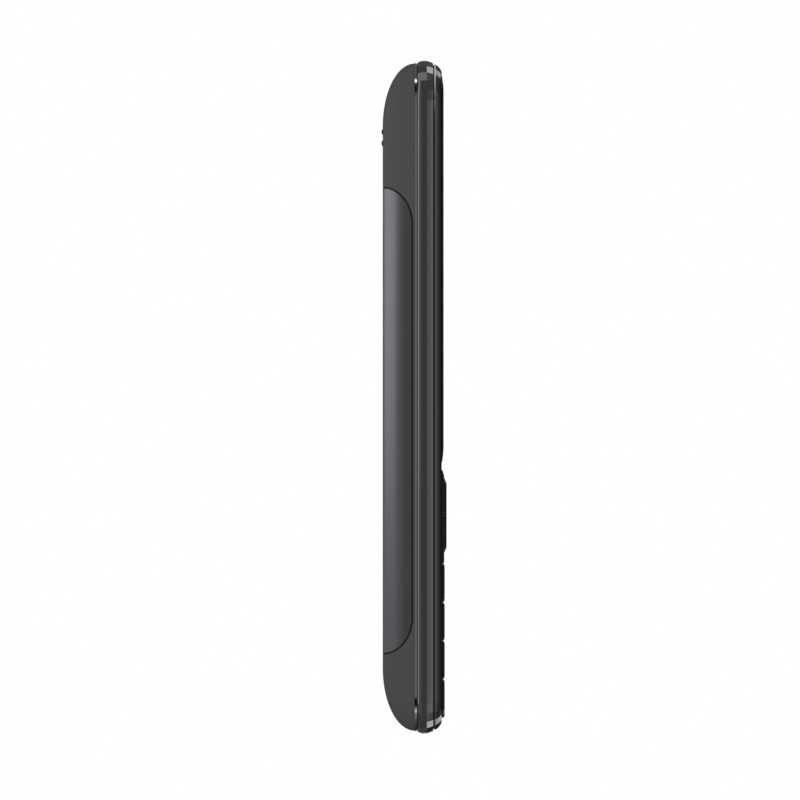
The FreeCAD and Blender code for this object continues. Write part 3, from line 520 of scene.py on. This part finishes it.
# --- Trim ring ------------------------------------------------------------
# Thin plated ring pressed between the back and the mid frame. Its outer edges are broken, and it is
# polished, so it carries one bright spark at each corner.
def shell(profile):
    """Outlines round the whole phone from pairs of a depth and an inset."""
    return [phone_outline(inset, inset, depth, corner - inset) for depth, inset in profile]


trim_profile = ((5.69, 0.42), (5.72, 0.38), (6.10, 0.45), (6.15, 0.49), (6.15, 1.68), (5.69, 1.68))
trim = build_up("trim_band", shell(trim_profile), 14, ring=True)
polish(trim, 20)
trim_gloss = finish("trim_gloss", moulded, {"Grain scale": 300.0}, (0.33, 0.33, 0.34), 0.03, 0.12, 0.03,
                    metallic=1.0)
coat(trim, trim_gloss)
deliver(trim, "root", "trim_gloss", "trim_ring")


# --- Mid frame ------------------------------------------------------------
# Machined and dark anodised band with two facets and a narrow crest. Its corners are cut in six flats
# each, a ledge inside carries the board, and six bosses take the case screws.
corner_flats = 6
cut_start, cut_end, cut_reach = 6.25, 6.46, 54.8
seam_start, seam_end, seam_inset = 9.02, 9.18, 0.8
band_profile = (
    (6.15, 0.80), (6.22, 0.45), (cut_start, 0.26), (cut_end, 0.19), (6.62, 0.10), (6.80, 0.035),
    (6.98, 0.004), (7.10, 0.0), (7.88, 0.0), (8.27, 0.12), (8.63, 0.255), (8.81, 0.335), (8.98, 0.43),
    (seam_start, 0.50), (seam_start, seam_inset), (seam_end, seam_inset), (seam_end, 1.5), (6.6, 1.5),
    (6.6, 2.7), (6.15, 2.7))
band = build_up("mid_band", shell(band_profile), corner_flats, ring=True)


def circle(x, z, r, depth):
    """Round outline. Its radii stay a little short of half its width, so that no two points meet."""
    return (x - r, x + r, z - r, z + r, r * 0.999, depth)


def join_to(piece, *others):
    """Makes other pieces part of this one."""
    make_active(piece)
    for other in others:
        other.select_set(True)
    bpy.ops.object.join()


def crisp_corners(piece):
    """Marks the edges between the flats of each corner as sharp."""
    side, half_length, near = half_width - corner, length / 2, 0.01
    for edge in piece.data.edges:
        a, b = (piece.data.vertices[i].co / mm for i in edge.vertices)
        runs_round = abs(a.y - b.y) < 1e-4
        on_side = abs(a.x) < side - near or abs(a.z - half_length) < half_length - corner - near
        if runs_round or on_side:
            continue
        end = corner if a.z < half_length else length - corner
        turn_a = math.atan2(a.z - end, abs(a.x) - side)
        turn_b = math.atan2(b.z - end, abs(b.x) - side)
        edge.use_edge_sharp = abs(turn_a - turn_b) < near


def depth_of(face):
    """Depth of a face's middle in millimetres."""
    return back_face - face.center.y / mm


boss_x, web_near, web_far = 21.9, 23.2, 24.2
boss_profile = ((6.15, 1.5), (8.45, 1.5), (8.55, 1.4), (8.55, 0.8), (8.45, 0.7), (6.15, 0.7))
web_profile = ((6.15, 0.7), (7.3, 0.7), (7.4, 0.6))
for side in (-1, 1):
    for z in (25.0, 50.0, 75.0):
        boss = build_up("boss", [circle(side * boss_x, z, r, d) for d, r in boss_profile], 6, ring=True)
        left, right = sorted((side * web_near, side * web_far))
        web = build_up("web", [(left, right, z - h, z + h, 0.1, d) for d, h in web_profile], 2)
        join_to(band, boss, web)
crisp_corners(band)
polish(band, 14)

# The bright cut, lighter metal that also carries a painted highlight, runs along the sides and ends beside
# the trim ring.
# The seam's floor is near black, as painted shade.
frame_metal = finish("frame_metal", moulded, {"Grain scale": 5000.0}, (0.17, 0.17, 0.172), 0.02, 0.2, 0.02,
                     metallic=1.0)
bright_cut_painted_highlight = finish("bright_cut_painted_highlight", moulded, {}, (0.48, 0.48, 0.485), 0.02, 0.25, 0.02, metallic=1.0)
band_coats = (frame_metal, bright_cut_painted_highlight, painted_shade_black)
coat(band, *band_coats)
for face in band.data.polygons:
    depth = depth_of(face)
    along = abs(face.center.z / mm - length / 2) < cut_reach
    if cut_start < depth < cut_end and 0.1 < face.normal.y < 0.8 and along:
        face.material_index = band_coats.index(bright_cut_painted_highlight)
    elif seam_start < depth < seam_end:
        face.material_index = band_coats.index(painted_shade_black)
deliver(band, "root", "frame_metal", "mid_frame")


# --- Front frame ----------------------------------------------------------
# Lacquered metal bezel with a rolled edge. The lens drops into a ledge in it, and the keys stand in one
# opening below. Its corners are cut in the same flats as the band behind it.
rim_end, roll_start, roll_inset, roll_end, roll_steps = 9.20, 9.36, 0.63, 10.53, 8
low_turn, high_turn = math.radians(26), math.radians(71.8)
roll = (roll_end - roll_start) / (math.sin(high_turn) - math.sin(low_turn))
bezel_profile = [(seam_end, seam_inset), (rim_end, 0.66)]
for step in range(roll_steps + 1):
    turn = low_turn + (high_turn - low_turn) * step / roll_steps
    bezel_profile.append((roll_start + roll * (math.sin(turn) - math.sin(low_turn)),
                          roll_inset + roll * (math.cos(low_turn) - math.cos(turn))))
# The roll's first step is halved, because the painted highlight line on the corners ends there.
line_end, line_inset = ((a + b) / 2 for a, b in zip(bezel_profile[2], bezel_profile[3]))
bezel_profile.insert(3, (line_end, line_inset))
bezel = build_up("front_bezel", shell(bezel_profile), corner_flats)
before_all = 12
for name, half, low, high, radii, floor_depth, steps in (
    ("lens_ledge", 23.05, 48.05, 117.65, (1.05, 1.05, 4.55, 4.55), 9.97, 12),
    ("key_opening", 22.8, 2.7, 47.4, (4.3, 4.3, 0.6, 0.6), 9, 8),
    ("display_opening", 20.3, 52.4, 108.2, 0.3, 9, 3),
    ("ear_opening", 4.55, 111.35, 113.45, 0.2, 9, 3),
):
    opening = [(-half, half, low, high, radii, d) for d in (floor_depth, before_all)]
    carve(bezel, build_up(name, opening, steps))
crisp_corners(bezel)
polish(bezel, 14)


def build_painted_highlight_fade(group, given, place):
    """Nought along the phone and one at its top end."""
    apart = group.nodes.new("ShaderNodeSeparateXYZ")
    group.links.new(place, apart.inputs[0])
    fade = group.nodes.new("ShaderNodeMapRange")
    fade.interpolation_type = "SMOOTHSTEP"
    group.links.new(given.outputs["Start"], fade.inputs["From Min"])
    group.links.new(given.outputs["Full"], fade.inputs["From Max"])
    group.links.new(apart.outputs["Z"], fade.inputs["Value"])
    return fade.outputs["Result"], fade.outputs["Result"]


# Painted highlight: beside the seam and on the top corners, the colour grows paler towards the top end, which
# gives a bright line there.
painted_highlight_fade = effect_group("painted_highlight_fade", {"Start": 0.1095, "Full": 0.1155}, build_painted_highlight_fade)
painted_highlight_end = finish("painted_highlight_end", painted_highlight_fade, {}, (0.50, 0.50, 0.505), 0.8, 0.2, 0.0, metallic=1.0)
painted_highlight_corner = finish("painted_highlight_corner", painted_highlight_fade, {"Start": 0.1125, "Full": 0.1185}, (0.22, 0.22, 0.222), 0.8,
                       0.35, 0.0, Specular_IOR_Level=0.2)
front_gloss = finish("front_gloss", moulded, {"Grain scale": 4000.0}, (0.10, 0.10, 0.102), 0.02, 0.2, 0.02,
                     metallic=1.0)
bezel_coats = (front_gloss, painted_highlight_end, painted_highlight_corner)
coat(bezel, *bezel_coats)
line_start = 9.19
# Faces of the line beside the seam and of the top corners get the painted highlight.
for face in bezel.data.polygons:
    depth = depth_of(face)
    x, z = face.center.x / mm, face.center.z / mm
    from_corner = math.hypot(max(abs(x) - (half_width - corner), 0), z - (length - corner))
    if line_start < depth < line_end and from_corner > corner - 1 and z > length - corner + 0.05:
        face.material_index = bezel_coats.index(painted_highlight_corner)
    elif line_start < depth < roll_start and abs(face.normal.y) < 0.6:
        face.material_index = bezel_coats.index(painted_highlight_end)
deliver(bezel, "root", "front_gloss", "front_frame")


# --- Display lens ---------------------------------------------------------
# Acrylic lens stuck into the bezel, black behind its whole border and clear over the display. Its two
# ends roll gently down to the bezel, and a slot near the top lets the earpiece speak through.
def build_smudged(group, given, place):
    """Fine grain of the gloss, and the slow clouds that hands leave on it."""
    return (noise(group, place, given.outputs["Grain scale"]),
            noise(group, place, given.outputs["Mottle scale"], 4, 0.6))


smudged = effect_group("handled_gloss", {"Grain scale": 1500.0, "Mottle scale": 40.0}, build_smudged)
lens_low, lens_high, lens_back, lens_thickness = 48.1, 117.6, 9.97, 0.9
lens_profile = ((lens_back, 0), (10.59, 0), (10.697, 0.021), (10.788, 0.082), (10.849, 0.173), (10.87, 0.28))
lens = build_up("lens_window", [
    (s - 23, 23 - s, lens_low + s, lens_high - s, (1 - s, 1 - s, 4.5 - s, 4.5 - s), d)
    for d, s in lens_profile], 12)
carve(lens, build_up("ear_slot", [(-4, 4, 111.9, 112.9, 0.49, d) for d in (9, before_all)], 8))

# Rows of edges across both ends take the roll, and four more edges frame the clear window.
end_length, end_radius, end_rows = 3.2, 15.229, 8
clear_x, clear_low, clear_high = 18.6, 54.05, 106.55
make_active(lens)
bpy.ops.object.mode_set(mode="EDIT")
rows = [end_length * row / end_rows for row in range(1, end_rows + 1)]
for z in [lens_low + row for row in rows] + [lens_high - row for row in rows] + [clear_low, clear_high]:
    bpy.ops.mesh.select_all(action="SELECT")
    bpy.ops.mesh.bisect(plane_co=(0, 0, z * mm), plane_no=(0, 0, 1))
for x in (-clear_x, clear_x):
    bpy.ops.mesh.select_all(action="SELECT")
    bpy.ops.mesh.bisect(plane_co=(x * mm, 0, 0), plane_no=(1, 0, 0))
rolled_rows = {}
for point in bmesh.from_edit_mesh(lens.data).verts:
    z = point.co.z / mm
    past = max(lens_low + end_length - z, z - (lens_high - end_length))
    if past > 1e-4 and point.co.y < y_of(10.0):
        rolled_rows.setdefault(round(past, 4), []).append(point.index)
for past, points in rolled_rows.items():
    drop = end_radius - math.sqrt(end_radius ** 2 - min(past, end_length) ** 2)
    pick(points)
    bpy.ops.transform.resize(value=(1, (lens_thickness - drop) / lens_thickness, 1),
                             center_override=(0, y_of(lens_back), 0))
bpy.ops.object.mode_set(mode="OBJECT")
polish(lens, 25)
lens_black = finish("lens_black", smudged, {}, (0.004, 0.004, 0.005), 0.1, 0.055, 0.015,
                    Specular_IOR_Level=0.3)
lens_clear = finish("lens_clear", smudged, {}, (0.93, 0.94, 0.95), 0.005, 0.015, 0.005,
                    Transmission_Weight=1.0, IOR=1.22)
lens_coats = (lens_black, lens_clear)
coat(lens, *lens_coats)
for face in lens.data.polygons:
    x, z = face.center.x / mm, face.center.z / mm
    if abs(face.normal.y) > 0.99 and abs(x) < clear_x - 0.01 and clear_low + 0.01 < z < clear_high - 0.01:
        face.material_index = lens_coats.index(lens_clear)
deliver(lens, "root", "lens_glass", "display_lens")

# The display behind it is switched off: a dark bluish panel in a pale light guide, with a soft gasket.
display_glass = finish("display_glass", smudged, {"Mottle scale": 15.0}, (0.005, 0.006, 0.008), 0.04, 0.3,
                       0.01, Specular_IOR_Level=0.08)
light_guide = finish("light_guide", moulded, {}, (0.72, 0.72, 0.70), 0.02, 0.5, 0.05, bump=0.1)
foam_gasket = finish("foam_gasket", moulded, {"Grain scale": 2500.0}, (0.03, 0.03, 0.031), 0.2, 0.9, 0.05,
                     bump=0.5, depth=0.05)
wear(display_glass, "lcd_glass")
wear(light_guide, "lcd_backlight")
wear(foam_gasket, "lcd_gasket")


# --- Key mat, domes and hub -----------------------------------------------
# One silicone mat lies under all the keys, on a foil of snap domes stuck to the board. The navigation
# ring rocks on a flat steel spring, and ribs of the mat, near black as painted shade, stand between the rows
# of keys, so that no light shows through there.
def build_rolled(group, given, place):
    """Fine lines drawn out along the phone."""
    stretch = group.nodes.new("ShaderNodeMapping")
    stretch.inputs["Scale"].default_value = (1.0, 1.0, 0.03)
    group.links.new(place, stretch.inputs["Vector"])
    lines = noise(group, stretch.outputs["Vector"], given.outputs["Grain scale"], 3)
    return lines, lines


rolled_steel = effect_group("rolled_metal", {"Grain scale": 3500.0}, build_rolled)
steel = finish("steel", rolled_steel, {}, (0.55, 0.55, 0.56), 0.08, 0.34, 0.05, metallic=1.0, bump=0.04)
silicone = finish("rubber_grey", moulded, {"Mottle scale": 200.0}, (0.25, 0.25, 0.26), 0.06, 0.7, 0.05,
                  bump=0.2)
wear(silicone, "keymat")
wear(steel, "dome_sheet")
nav_z = 38.9
spring_profile = ((9.54, 3.9), (9.42, 3.9), (9.40, 3.88), (9.40, 2.75), (9.54, 2.75))
spring = build_up("nav_spring", [circle(0, nav_z, r, d) for d, r in spring_profile], 16, ring=True)
polish(spring, 40)
coat(spring, steel)
deliver(spring, "hub", "steel", "nav_hub")

row_pitch, top_row, key_gap = 6.87, 30.23, 0.1
rib_side, beside_ring, beside_z, rib_half = 22.5, 9.4, 39.10, 0.045
mat_rib_profile = ((9.3, 0), (10.6, 0), (10.86, 0.3))
rib_spans = [(-rib_side, rib_side, top_row + key_gap / 2 - row_pitch * row) for row in range(4)]
rib_spans += [(-rib_side, -beside_ring, beside_z), (beside_ring, rib_side, beside_z)]
for number, (left, right, z) in enumerate(rib_spans, 1):
    rib = build_up("mat_rib_%d" % number, [
        (left + s, right - s, z - rib_half, z + rib_half, 0.04, d) for d, s in mat_rib_profile], 2)
    polish(rib)
    coat(rib, painted_shade_black)
    deliver(rib, "root", "rubber_grey")


# --- Number keys ----------------------------------------------------------
# Twelve moulded caps in gloss black, set edge to edge in four rows. Each top is rolled off all round and
# carries its number in white, printed and lacquered over. The feet stop short of the mat in the scene,
# because the mat gives way under a pressed key and stays flat here.
key_gloss = finish("key_gloss", smudged, {"Mottle scale": 120.0}, (0.003, 0.003, 0.0035), 0.1, 0.12, 0.03,
                   Specular_IOR_Level=0.35)
legend_white = finish("legend_white", moulded, {}, (0.70, 0.71, 0.72), 0.03, 0.35, 0.05)
key_foot, key_face = 9.44, 11.07
sign_size, print_height = 4.4, 0.004


def legend(text, x, z):
    """Printed sign that lies on a number key's face."""
    bpy.ops.object.select_all(action="DESELECT")
    bpy.ops.object.text_add(location=(0, 0, 0))
    sign = bpy.context.object
    sign.data.body = text
    sign.data.size = sign_size * mm
    sign.data.align_x = "CENTER"
    sign.data.align_y = "CENTER"
    sign.data.resolution_u = 6
    sign.data.extrude = print_height * mm
    bpy.ops.object.convert(target="MESH")
    sign = bpy.context.object
    sign.location = (x * mm, y_of(key_face), z * mm)
    sign.rotation_euler = (math.pi / 2, 0, 0)
    bpy.ops.object.transform_apply(location=True, rotation=True, scale=True)
    coat(sign, legend_white)
    return sign


key_profile = ((key_foot, 0.0), (10.80, 0.0), (10.90, 0.03), (10.96, 0.10), (11.02, 0.24), (11.055, 0.42),
               (key_face, 0.62))
left_side, column_pitch, lowest, small_radius, large_radius = -22.7, 15.1667, 2.8, 0.5, 4.2
legend_in, star_drop = 7.53, 0.9
for place, name in enumerate(("1", "2", "3", "4", "5", "6", "7", "8", "9", "star", "0", "hash")):
    row, column = divmod(place, 3)
    left = left_side + column * column_pitch
    right = left + column_pitch - key_gap
    high = top_row - row * row_pitch
    low = lowest if row == 3 else high - row_pitch + key_gap
    radii = [small_radius] * 4
    if row == 3 and column != 1:
        radii[0 if column == 0 else 1] = large_radius
    cap = build_up("cap_" + name, [
        (left + s, right - s, low + s, high - s, tuple(max(r - s, 0.2) for r in radii), d)
        for d, s in key_profile], 8)
    polish(cap, 35)
    coat(cap, key_gloss)
    sign = {"star": "*", "hash": "#"}.get(name, name)
    drop = star_drop if name == "star" else 0.0
    join_to(cap, legend(sign, left + legend_in, (low + high) / 2 - drop))
    deliver(cap, "key_" + name, "key_gloss", "key_" + name)


# --- Soft keys, call and end keys -----------------------------------------
# Four larger caps, moulded like the number keys and shaped round the navigation ring. The upper two slope
# down to meet the lens, and the lower two carry the raised and the lowered handset in green and red.
side_face, side_roll, slope_start = 10.98, 0.24, 46.0
nav_room = (-9, 9, 32.0, 45.8, 3.8)


def side_cap(name, side, low, high, sloped):
    """Cap beside the ring, with a small roll round its face."""
    left, right = sorted((side * 0.05, side * 22.7))
    cap = build_up(name, [(left, right, low, high, 0.5, d) for d in (key_foot, side_face)], 8)
    carve(cap, build_up("nav_room", [(*nav_room, d) for d in (8, before_all)], 14))
    make_active(cap)
    bpy.ops.object.mode_set(mode="EDIT")
    pick([v.index for v in cap.data.vertices if abs(v.co.y - y_of(side_face)) < 1e-7])
    bpy.ops.mesh.bevel(offset=side_roll * mm, offset_type="OFFSET", segments=4, affect="EDGES", profile=0.5)
    if sloped:
        bpy.ops.mesh.select_all(action="SELECT")
        bpy.ops.mesh.bisect(plane_co=(0, y_of(side_face), slope_start * mm), plane_no=(0, -1.3, 0.4),
                            use_fill=True, clear_outer=True)
    bpy.ops.object.mode_set(mode="OBJECT")
    polish(cap, 14 if sloped else 35)
    coat(cap, key_gloss)
    return cap


def bar(x, z, half_length, half_height, tilt, face, material):
    """Small printed bar with round ends."""
    r = half_height * 0.98
    stripe = build_up("bar", [
        (-half_length, half_length, -half_height, half_height, r, d)
        for d in (face - print_height, face + print_height)], 6)
    stripe.rotation_euler = (0, tilt, 0)
    stripe.location = (x * mm, 0, z * mm)
    make_active(stripe)
    bpy.ops.object.transform_apply(location=True, rotation=True, scale=True)
    coat(stripe, material)
    return stripe


sign_green = finish("sign_green", moulded, {}, (0.03, 0.35, 0.07), 0.05, 0.35, 0.05)
sign_red = finish("sign_red", moulded, {}, (0.50, 0.02, 0.02), 0.05, 0.35, 0.05)
sign_x = 16
for side, name in ((-1, "soft_key_left"), (1, "soft_key_right")):
    cap = side_cap("cap_" + name, side, 39.15, 47.3, True)
    join_to(cap, bar(side * sign_x, 42.3, 1.9, 0.3, 0, side_face, legend_white))
    deliver(cap, name, "key_gloss", name)

# Each handset is one long bar with a stub under both its ends, which lies a hair's breadth prouder.
handset_z, stub_along, stub_below, stub_lift = 34.7, 1.7, 0.42, 0.003
for side, name, colour, tilt in ((-1, "call_key", sign_green, 0.6), (1, "end_key", sign_red, 0.0)):
    cap = side_cap("cap_" + name, side, 30.33, 39.05, False)
    x, cos, sin = side * sign_x, math.cos(tilt), math.sin(tilt)
    pieces = [bar(x, handset_z, 2.1, 0.34, -tilt, side_face, colour)]
    for end in (-1, 1):
        stub_x = x + cos * end * stub_along + sin * stub_below
        stub_z = handset_z + sin * end * stub_along - cos * stub_below
        pieces.append(bar(stub_x, stub_z, 0.62, 0.52, -tilt, side_face + stub_lift, colour))
    join_to(cap, *pieces)
    deliver(cap, name, "key_gloss", name)


# --- Navigation ring and OK key -------------------------------------------
# The ring is one moulding with a bevelled rim and a shallow dish, painted gloss black like the keys. The
# OK key stands in its middle on a round stem.
def round_nav(half_x, half_z, radius, depth):
    """Rounded outline about the middle of the navigation ring."""
    return (-half_x, half_x, nav_z - half_z, nav_z + half_z, radius, depth)


ring_profile = (
    (9.88, 0), (10.93, 0), (11.0, 0.04), (11.35, 0.86), (11.385, 0.93), (11.40, 1.02), (11.40, 1.93),
    (11.385, 1.98), (11.33, 2.0), (11.32, 2.1), (11.31, 2.9))
ring = build_up("nav_rocker", [round_nav(8.8 - s, 6.7 - s, 3.6 - s, d) for d, s in ring_profile] + [
    round_nav(4.0, 3.2, 2.0, 11.33), round_nav(4.0, 3.2, 2.0, 9.94),
    round_nav(4.4, 4.4, 4.39, 9.94), round_nav(4.4, 4.4, 4.39, 9.88)], 14, ring=True)
polish(ring, 35)
coat(ring, key_gloss)
deliver(ring, "nav_ring", "key_gloss", "nav_ring")
ok_base = 10.0
ok_profile = ((ok_base, 0), (11.02, 0), (11.13, 0.03), (11.20, 0.10), (11.25, 0.24), (11.28, 0.5))
ok_cap = build_up("ok_cap", [round_nav(2.2, 2.2, 2.19, d) for d in (key_foot, ok_base)] + [
    round_nav(3.8 - s, 3.0 - s, 1.8 - s, d) for d, s in ok_profile], 12)
polish(ok_cap, 35)
coat(ok_cap, key_gloss)
deliver(ok_cap, "ok_key", "key_gloss", "ok_key")


# --- Loudspeaker grille and sound parts -----------------------------------
# Gloss black grille with three slots between two proud ribs, which keep the slots open on a table. A
# woven steel mesh lies behind it and another behind the lens's ear slot.
def pill(half_x, z, half_z, radius, depth):
    """Long rounded outline on the grille."""
    grille_x = 9.5
    return (grille_x - half_x, grille_x + half_x, z - half_z, z + half_z, radius, depth)


grille_z, rib_z, slot_z = 106.3, 1.025, 2.05
grille_profile = ((1.2, 0), (0.08, 0), (0.02, 0.03), (0, 0.1))
rib_profile = ((0.1, 0), (-0.04, 0), (-0.12, 0.025), (-0.17, 0.075), (-0.20, 0.16))
grille = build_up("grille", [pill(7.5 - s, grille_z, 2.2 - s, 2.15 - s, d) for d, s in grille_profile], 10)
for side in (-1, 1):
    z = grille_z + side * rib_z
    rib = build_up("rib", [pill(6 - s, z, 0.475 - s, 0.465 - s, d) for d, s in rib_profile], 8)
    carve(grille, rib, "UNION")
for side in (-1, 0, 1):
    z = grille_z + side * slot_z
    carve(grille, build_up("slot", [pill(5, z, 0.225, 0.22, d) for d in (-1, 2)], 8))
polish(grille, 35)
grille_black = finish("grille_black", moulded, {}, (0.006, 0.006, 0.006), 0.1, 0.3, 0.04,
                      Specular_IOR_Level=0.25)
coat(grille, grille_black)
deliver(grille, "root", "black_plastic", "speaker_grille")


def build_woven(group, given, place):
    """Two waves across each other, as of wires."""
    apart = group.nodes.new("ShaderNodeSeparateXYZ")
    group.links.new(place, apart.inputs[0])
    waves = []
    for axis in ("X", "Z"):
        times = group.nodes.new("ShaderNodeMath")
        times.operation = "MULTIPLY"
        group.links.new(apart.outputs[axis], times.inputs[0])
        group.links.new(given.outputs["Grain scale"], times.inputs[1])
        wave = group.nodes.new("ShaderNodeMath")
        wave.operation = "SINE"
        group.links.new(times.outputs[0], wave.inputs[0])
        waves.append(wave.outputs[0])
    meet = group.nodes.new("ShaderNodeMath")
    meet.operation = "MULTIPLY_ADD"
    group.links.new(waves[0], meet.inputs[0])
    group.links.new(waves[1], meet.inputs[1])
    meet.inputs[2].default_value = 0.5
    return meet.outputs[0], meet.outputs[0]


woven = effect_group("woven_wire", {"Grain scale": 16000.0}, build_woven)
mesh_steel = finish("mesh_steel", woven, {}, (0.12, 0.12, 0.122), 0.8, 0.4, 0.1, metallic=1.0, bump=0.6,
                    depth=0.08)
black_plastic = finish("black_plastic", moulded, {}, (0.02, 0.02, 0.02), 0.08, 0.5, 0.06, bump=0.2)
wear(mesh_steel, "speaker_mesh", "earpiece_mesh")
wear(black_plastic, "loudspeaker", "earpiece", "microphone", "headset_jack")


# --- Camera ---------------------------------------------------------------
# A turned and plated metal ring, pressed into the case, frames a small window. The window is acrylic,
# black behind its rim and clear over the lens barrel.
camera_x, camera_z = -10.5, 103.3


def turned(name, profile, steps, closed=False):
    """Piece turned about the camera's axis from pairs of a depth and a radius."""
    piece = build_up(name, [circle(camera_x, camera_z, r, d) for d, r in profile], steps, ring=closed)
    polish(piece, 40)
    return piece


camera_ring = turned("camera_bezel", (
    (1.15, 4.2), (0.1, 4.2), (0.03, 4.17), (0.0, 4.1), (0.0, 3.55), (0.03, 3.46), (0.16, 3.32), (0.25, 3.3),
    (1.15, 3.3)), 16, closed=True)
ring_metal = finish("ring_metal", rolled_steel, {}, (0.42, 0.42, 0.43), 0.04, 0.22, 0.04, metallic=1.0)
coat(camera_ring, ring_metal)
deliver(camera_ring, "root", "ring_metal", "camera_ring")
window = turned("camera_glass", ((0.9, 1.9), (0.9, 3.29), (0.26, 3.29), (0.2, 3.2), (0.2, 1.9)), 16)
coat(window, *lens_coats)
for face in window.data.polygons:
    off_axis = math.hypot(face.center.x / mm - camera_x, face.center.z / mm - camera_z)
    if abs(face.normal.y) > 0.99 and off_axis < 0.5:
        face.material_index = lens_coats.index(lens_clear)
deliver(window, "root", "lens_glass", "camera_window")
eye = turned("camera_eye", ((2.35, 1.05), (2.1, 1.05), (1.9, 1.0), (1.78, 0.85), (1.7, 0.6), (1.66, 0.3)), 10)
eye_glass = finish("eye_glass", smudged, {}, (0.012, 0.006, 0.03), 0.3, 0.04, 0.01, Coat_Weight=1.0)
coat(eye, eye_glass)
deliver(eye, "root", "lens_glass")
wear(black_plastic, "camera_module")


# --- Board, battery and cards ---------------------------------------------
# Green board with tinned cans, a slim wrapped battery with three gold contacts, and two steel holders
# that the cards slide into.
def build_tracks(group, given, place):
    """Thin lines between uneven fields, as of copper under lacquer."""
    turn = group.nodes.new("ShaderNodeMapping")
    turn.inputs["Rotation"].default_value = (math.pi / 2, 0, 0)
    group.links.new(place, turn.inputs["Vector"])
    bricks = group.nodes.new("ShaderNodeTexBrick")
    bricks.offset = 0.37
    bricks.offset_frequency = 3
    bricks.squash = 2.3
    bricks.squash_frequency = 4
    bricks.inputs["Scale"].default_value = 1.0
    bricks.inputs["Mortar Size"].default_value = 0.00012
    bricks.inputs["Brick Width"].default_value = 0.0035
    bricks.inputs["Row Height"].default_value = 0.0011
    group.links.new(turn.outputs["Vector"], bricks.inputs["Vector"])
    return bricks.outputs["Fac"], bricks.outputs["Fac"]


tracks = effect_group("board_tracks", {}, build_tracks)
board_green = finish("board_green", tracks, {}, (0.025, 0.10, 0.05), 0.16, 0.35, 0.05, bump=0.2, depth=0.02)
wear(board_green, "main_board")


def build_label(group, given, place):
    """One on the battery's label and nought round it."""
    apart = group.nodes.new("ShaderNodeSeparateXYZ")
    group.links.new(place, apart.inputs[0])
    inside = []
    for axis, low, high in (("X", -0.0165, 0.0165), ("Z", 0.026, 0.074)):
        for limit, operation in ((low, "GREATER_THAN"), (high, "LESS_THAN")):
            test = group.nodes.new("ShaderNodeMath")
            test.operation = operation
            group.links.new(apart.outputs[axis], test.inputs[0])
            test.inputs[1].default_value = limit
            inside.append(test.outputs[0])
    while len(inside) > 1:
        both = group.nodes.new("ShaderNodeMath")
        both.operation = "MULTIPLY"
        group.links.new(inside.pop(0), both.inputs[0])
        group.links.new(inside.pop(0), both.inputs[1])
        inside.append(both.outputs[0])
    return inside[0], inside[0]


label = effect_group("battery_label", {}, build_label)
gold = finish("gold_plate", rolled_steel, {}, (0.75, 0.55, 0.22), 0.05, 0.25, 0.05, metallic=1.0)
cell_low, cell_high, cell_half = 22, 78, 19
cell_profile = (
    (4.75, 0.5), (4.72, 0.28), (4.62, 0.1), (4.45, 0.01), (4.4, 0), (1.55, 0), (1.5, 0.01), (1.33, 0.1),
    (1.23, 0.28), (1.2, 0.5))
cell = build_up("battery_cell", [
    (s - cell_half, cell_half - s, cell_low + s, cell_high - s, 1.2 - s, d) for d, s in cell_profile], 8)
pad_floor, pad_pitch, pad_half = 22.1, 2.5, 0.8
for x in (-pad_pitch, 0, pad_pitch):
    carve(cell, build_up("pad_room", [
        (x - pad_half, x + pad_half, 21, pad_floor, 0.01, d) for d in (2.6, 4.15)], 1))

# Both ends are black caps, and a dark tape as narrow as the edge of the wrap lies next to each.
low_cap, low_tape, high_tape, high_cap = 25.0, 25.2, 76.3, 76.5
make_active(cell)
bpy.ops.object.mode_set(mode="EDIT")
for z in (low_cap, low_tape, high_tape, high_cap):
    bpy.ops.mesh.select_all(action="SELECT")
    bpy.ops.mesh.bisect(plane_co=(0, 0, z * mm), plane_no=(0, 0, 1))
bpy.ops.object.mode_set(mode="OBJECT")
polish(cell, 40)
battery_wrap = finish("battery_wrap", label, {}, (0.36, 0.36, 0.355), 0.75, 0.4, 0.08, bump=0.4, depth=0.06)
cell_coats = (battery_wrap, black_plastic, gold, painted_shade_black)
coat(cell, *cell_coats)
for face in cell.data.polygons:
    z = face.center.z / mm
    if abs(z - pad_floor) < 0.05 and face.normal.z < -0.9:
        face.material_index = cell_coats.index(gold)
    elif z < low_cap or z > high_cap:
        face.material_index = cell_coats.index(black_plastic)
    elif z < low_tape or z > high_tape:
        face.material_index = cell_coats.index(painted_shade_black)
deliver(cell, "battery", "battery_wrap", "battery")

card_plastic = finish("card_plastic", moulded, {}, (0.62, 0.63, 0.66), 0.02, 0.45, 0.05, bump=0.1)
wear(card_plastic, "sim_card")
wear(gold, "battery_contacts", "antenna", "lcd_flex")
wear(black_plastic, "antenna_carrier", "processor_chip", "memory_card")
wear(steel, "shield_can_lower", "shield_can_upper", "sim_holder", "memory_card_holder", "usb_socket",
     "case_screws", "vibration_motor", "motor_weight")
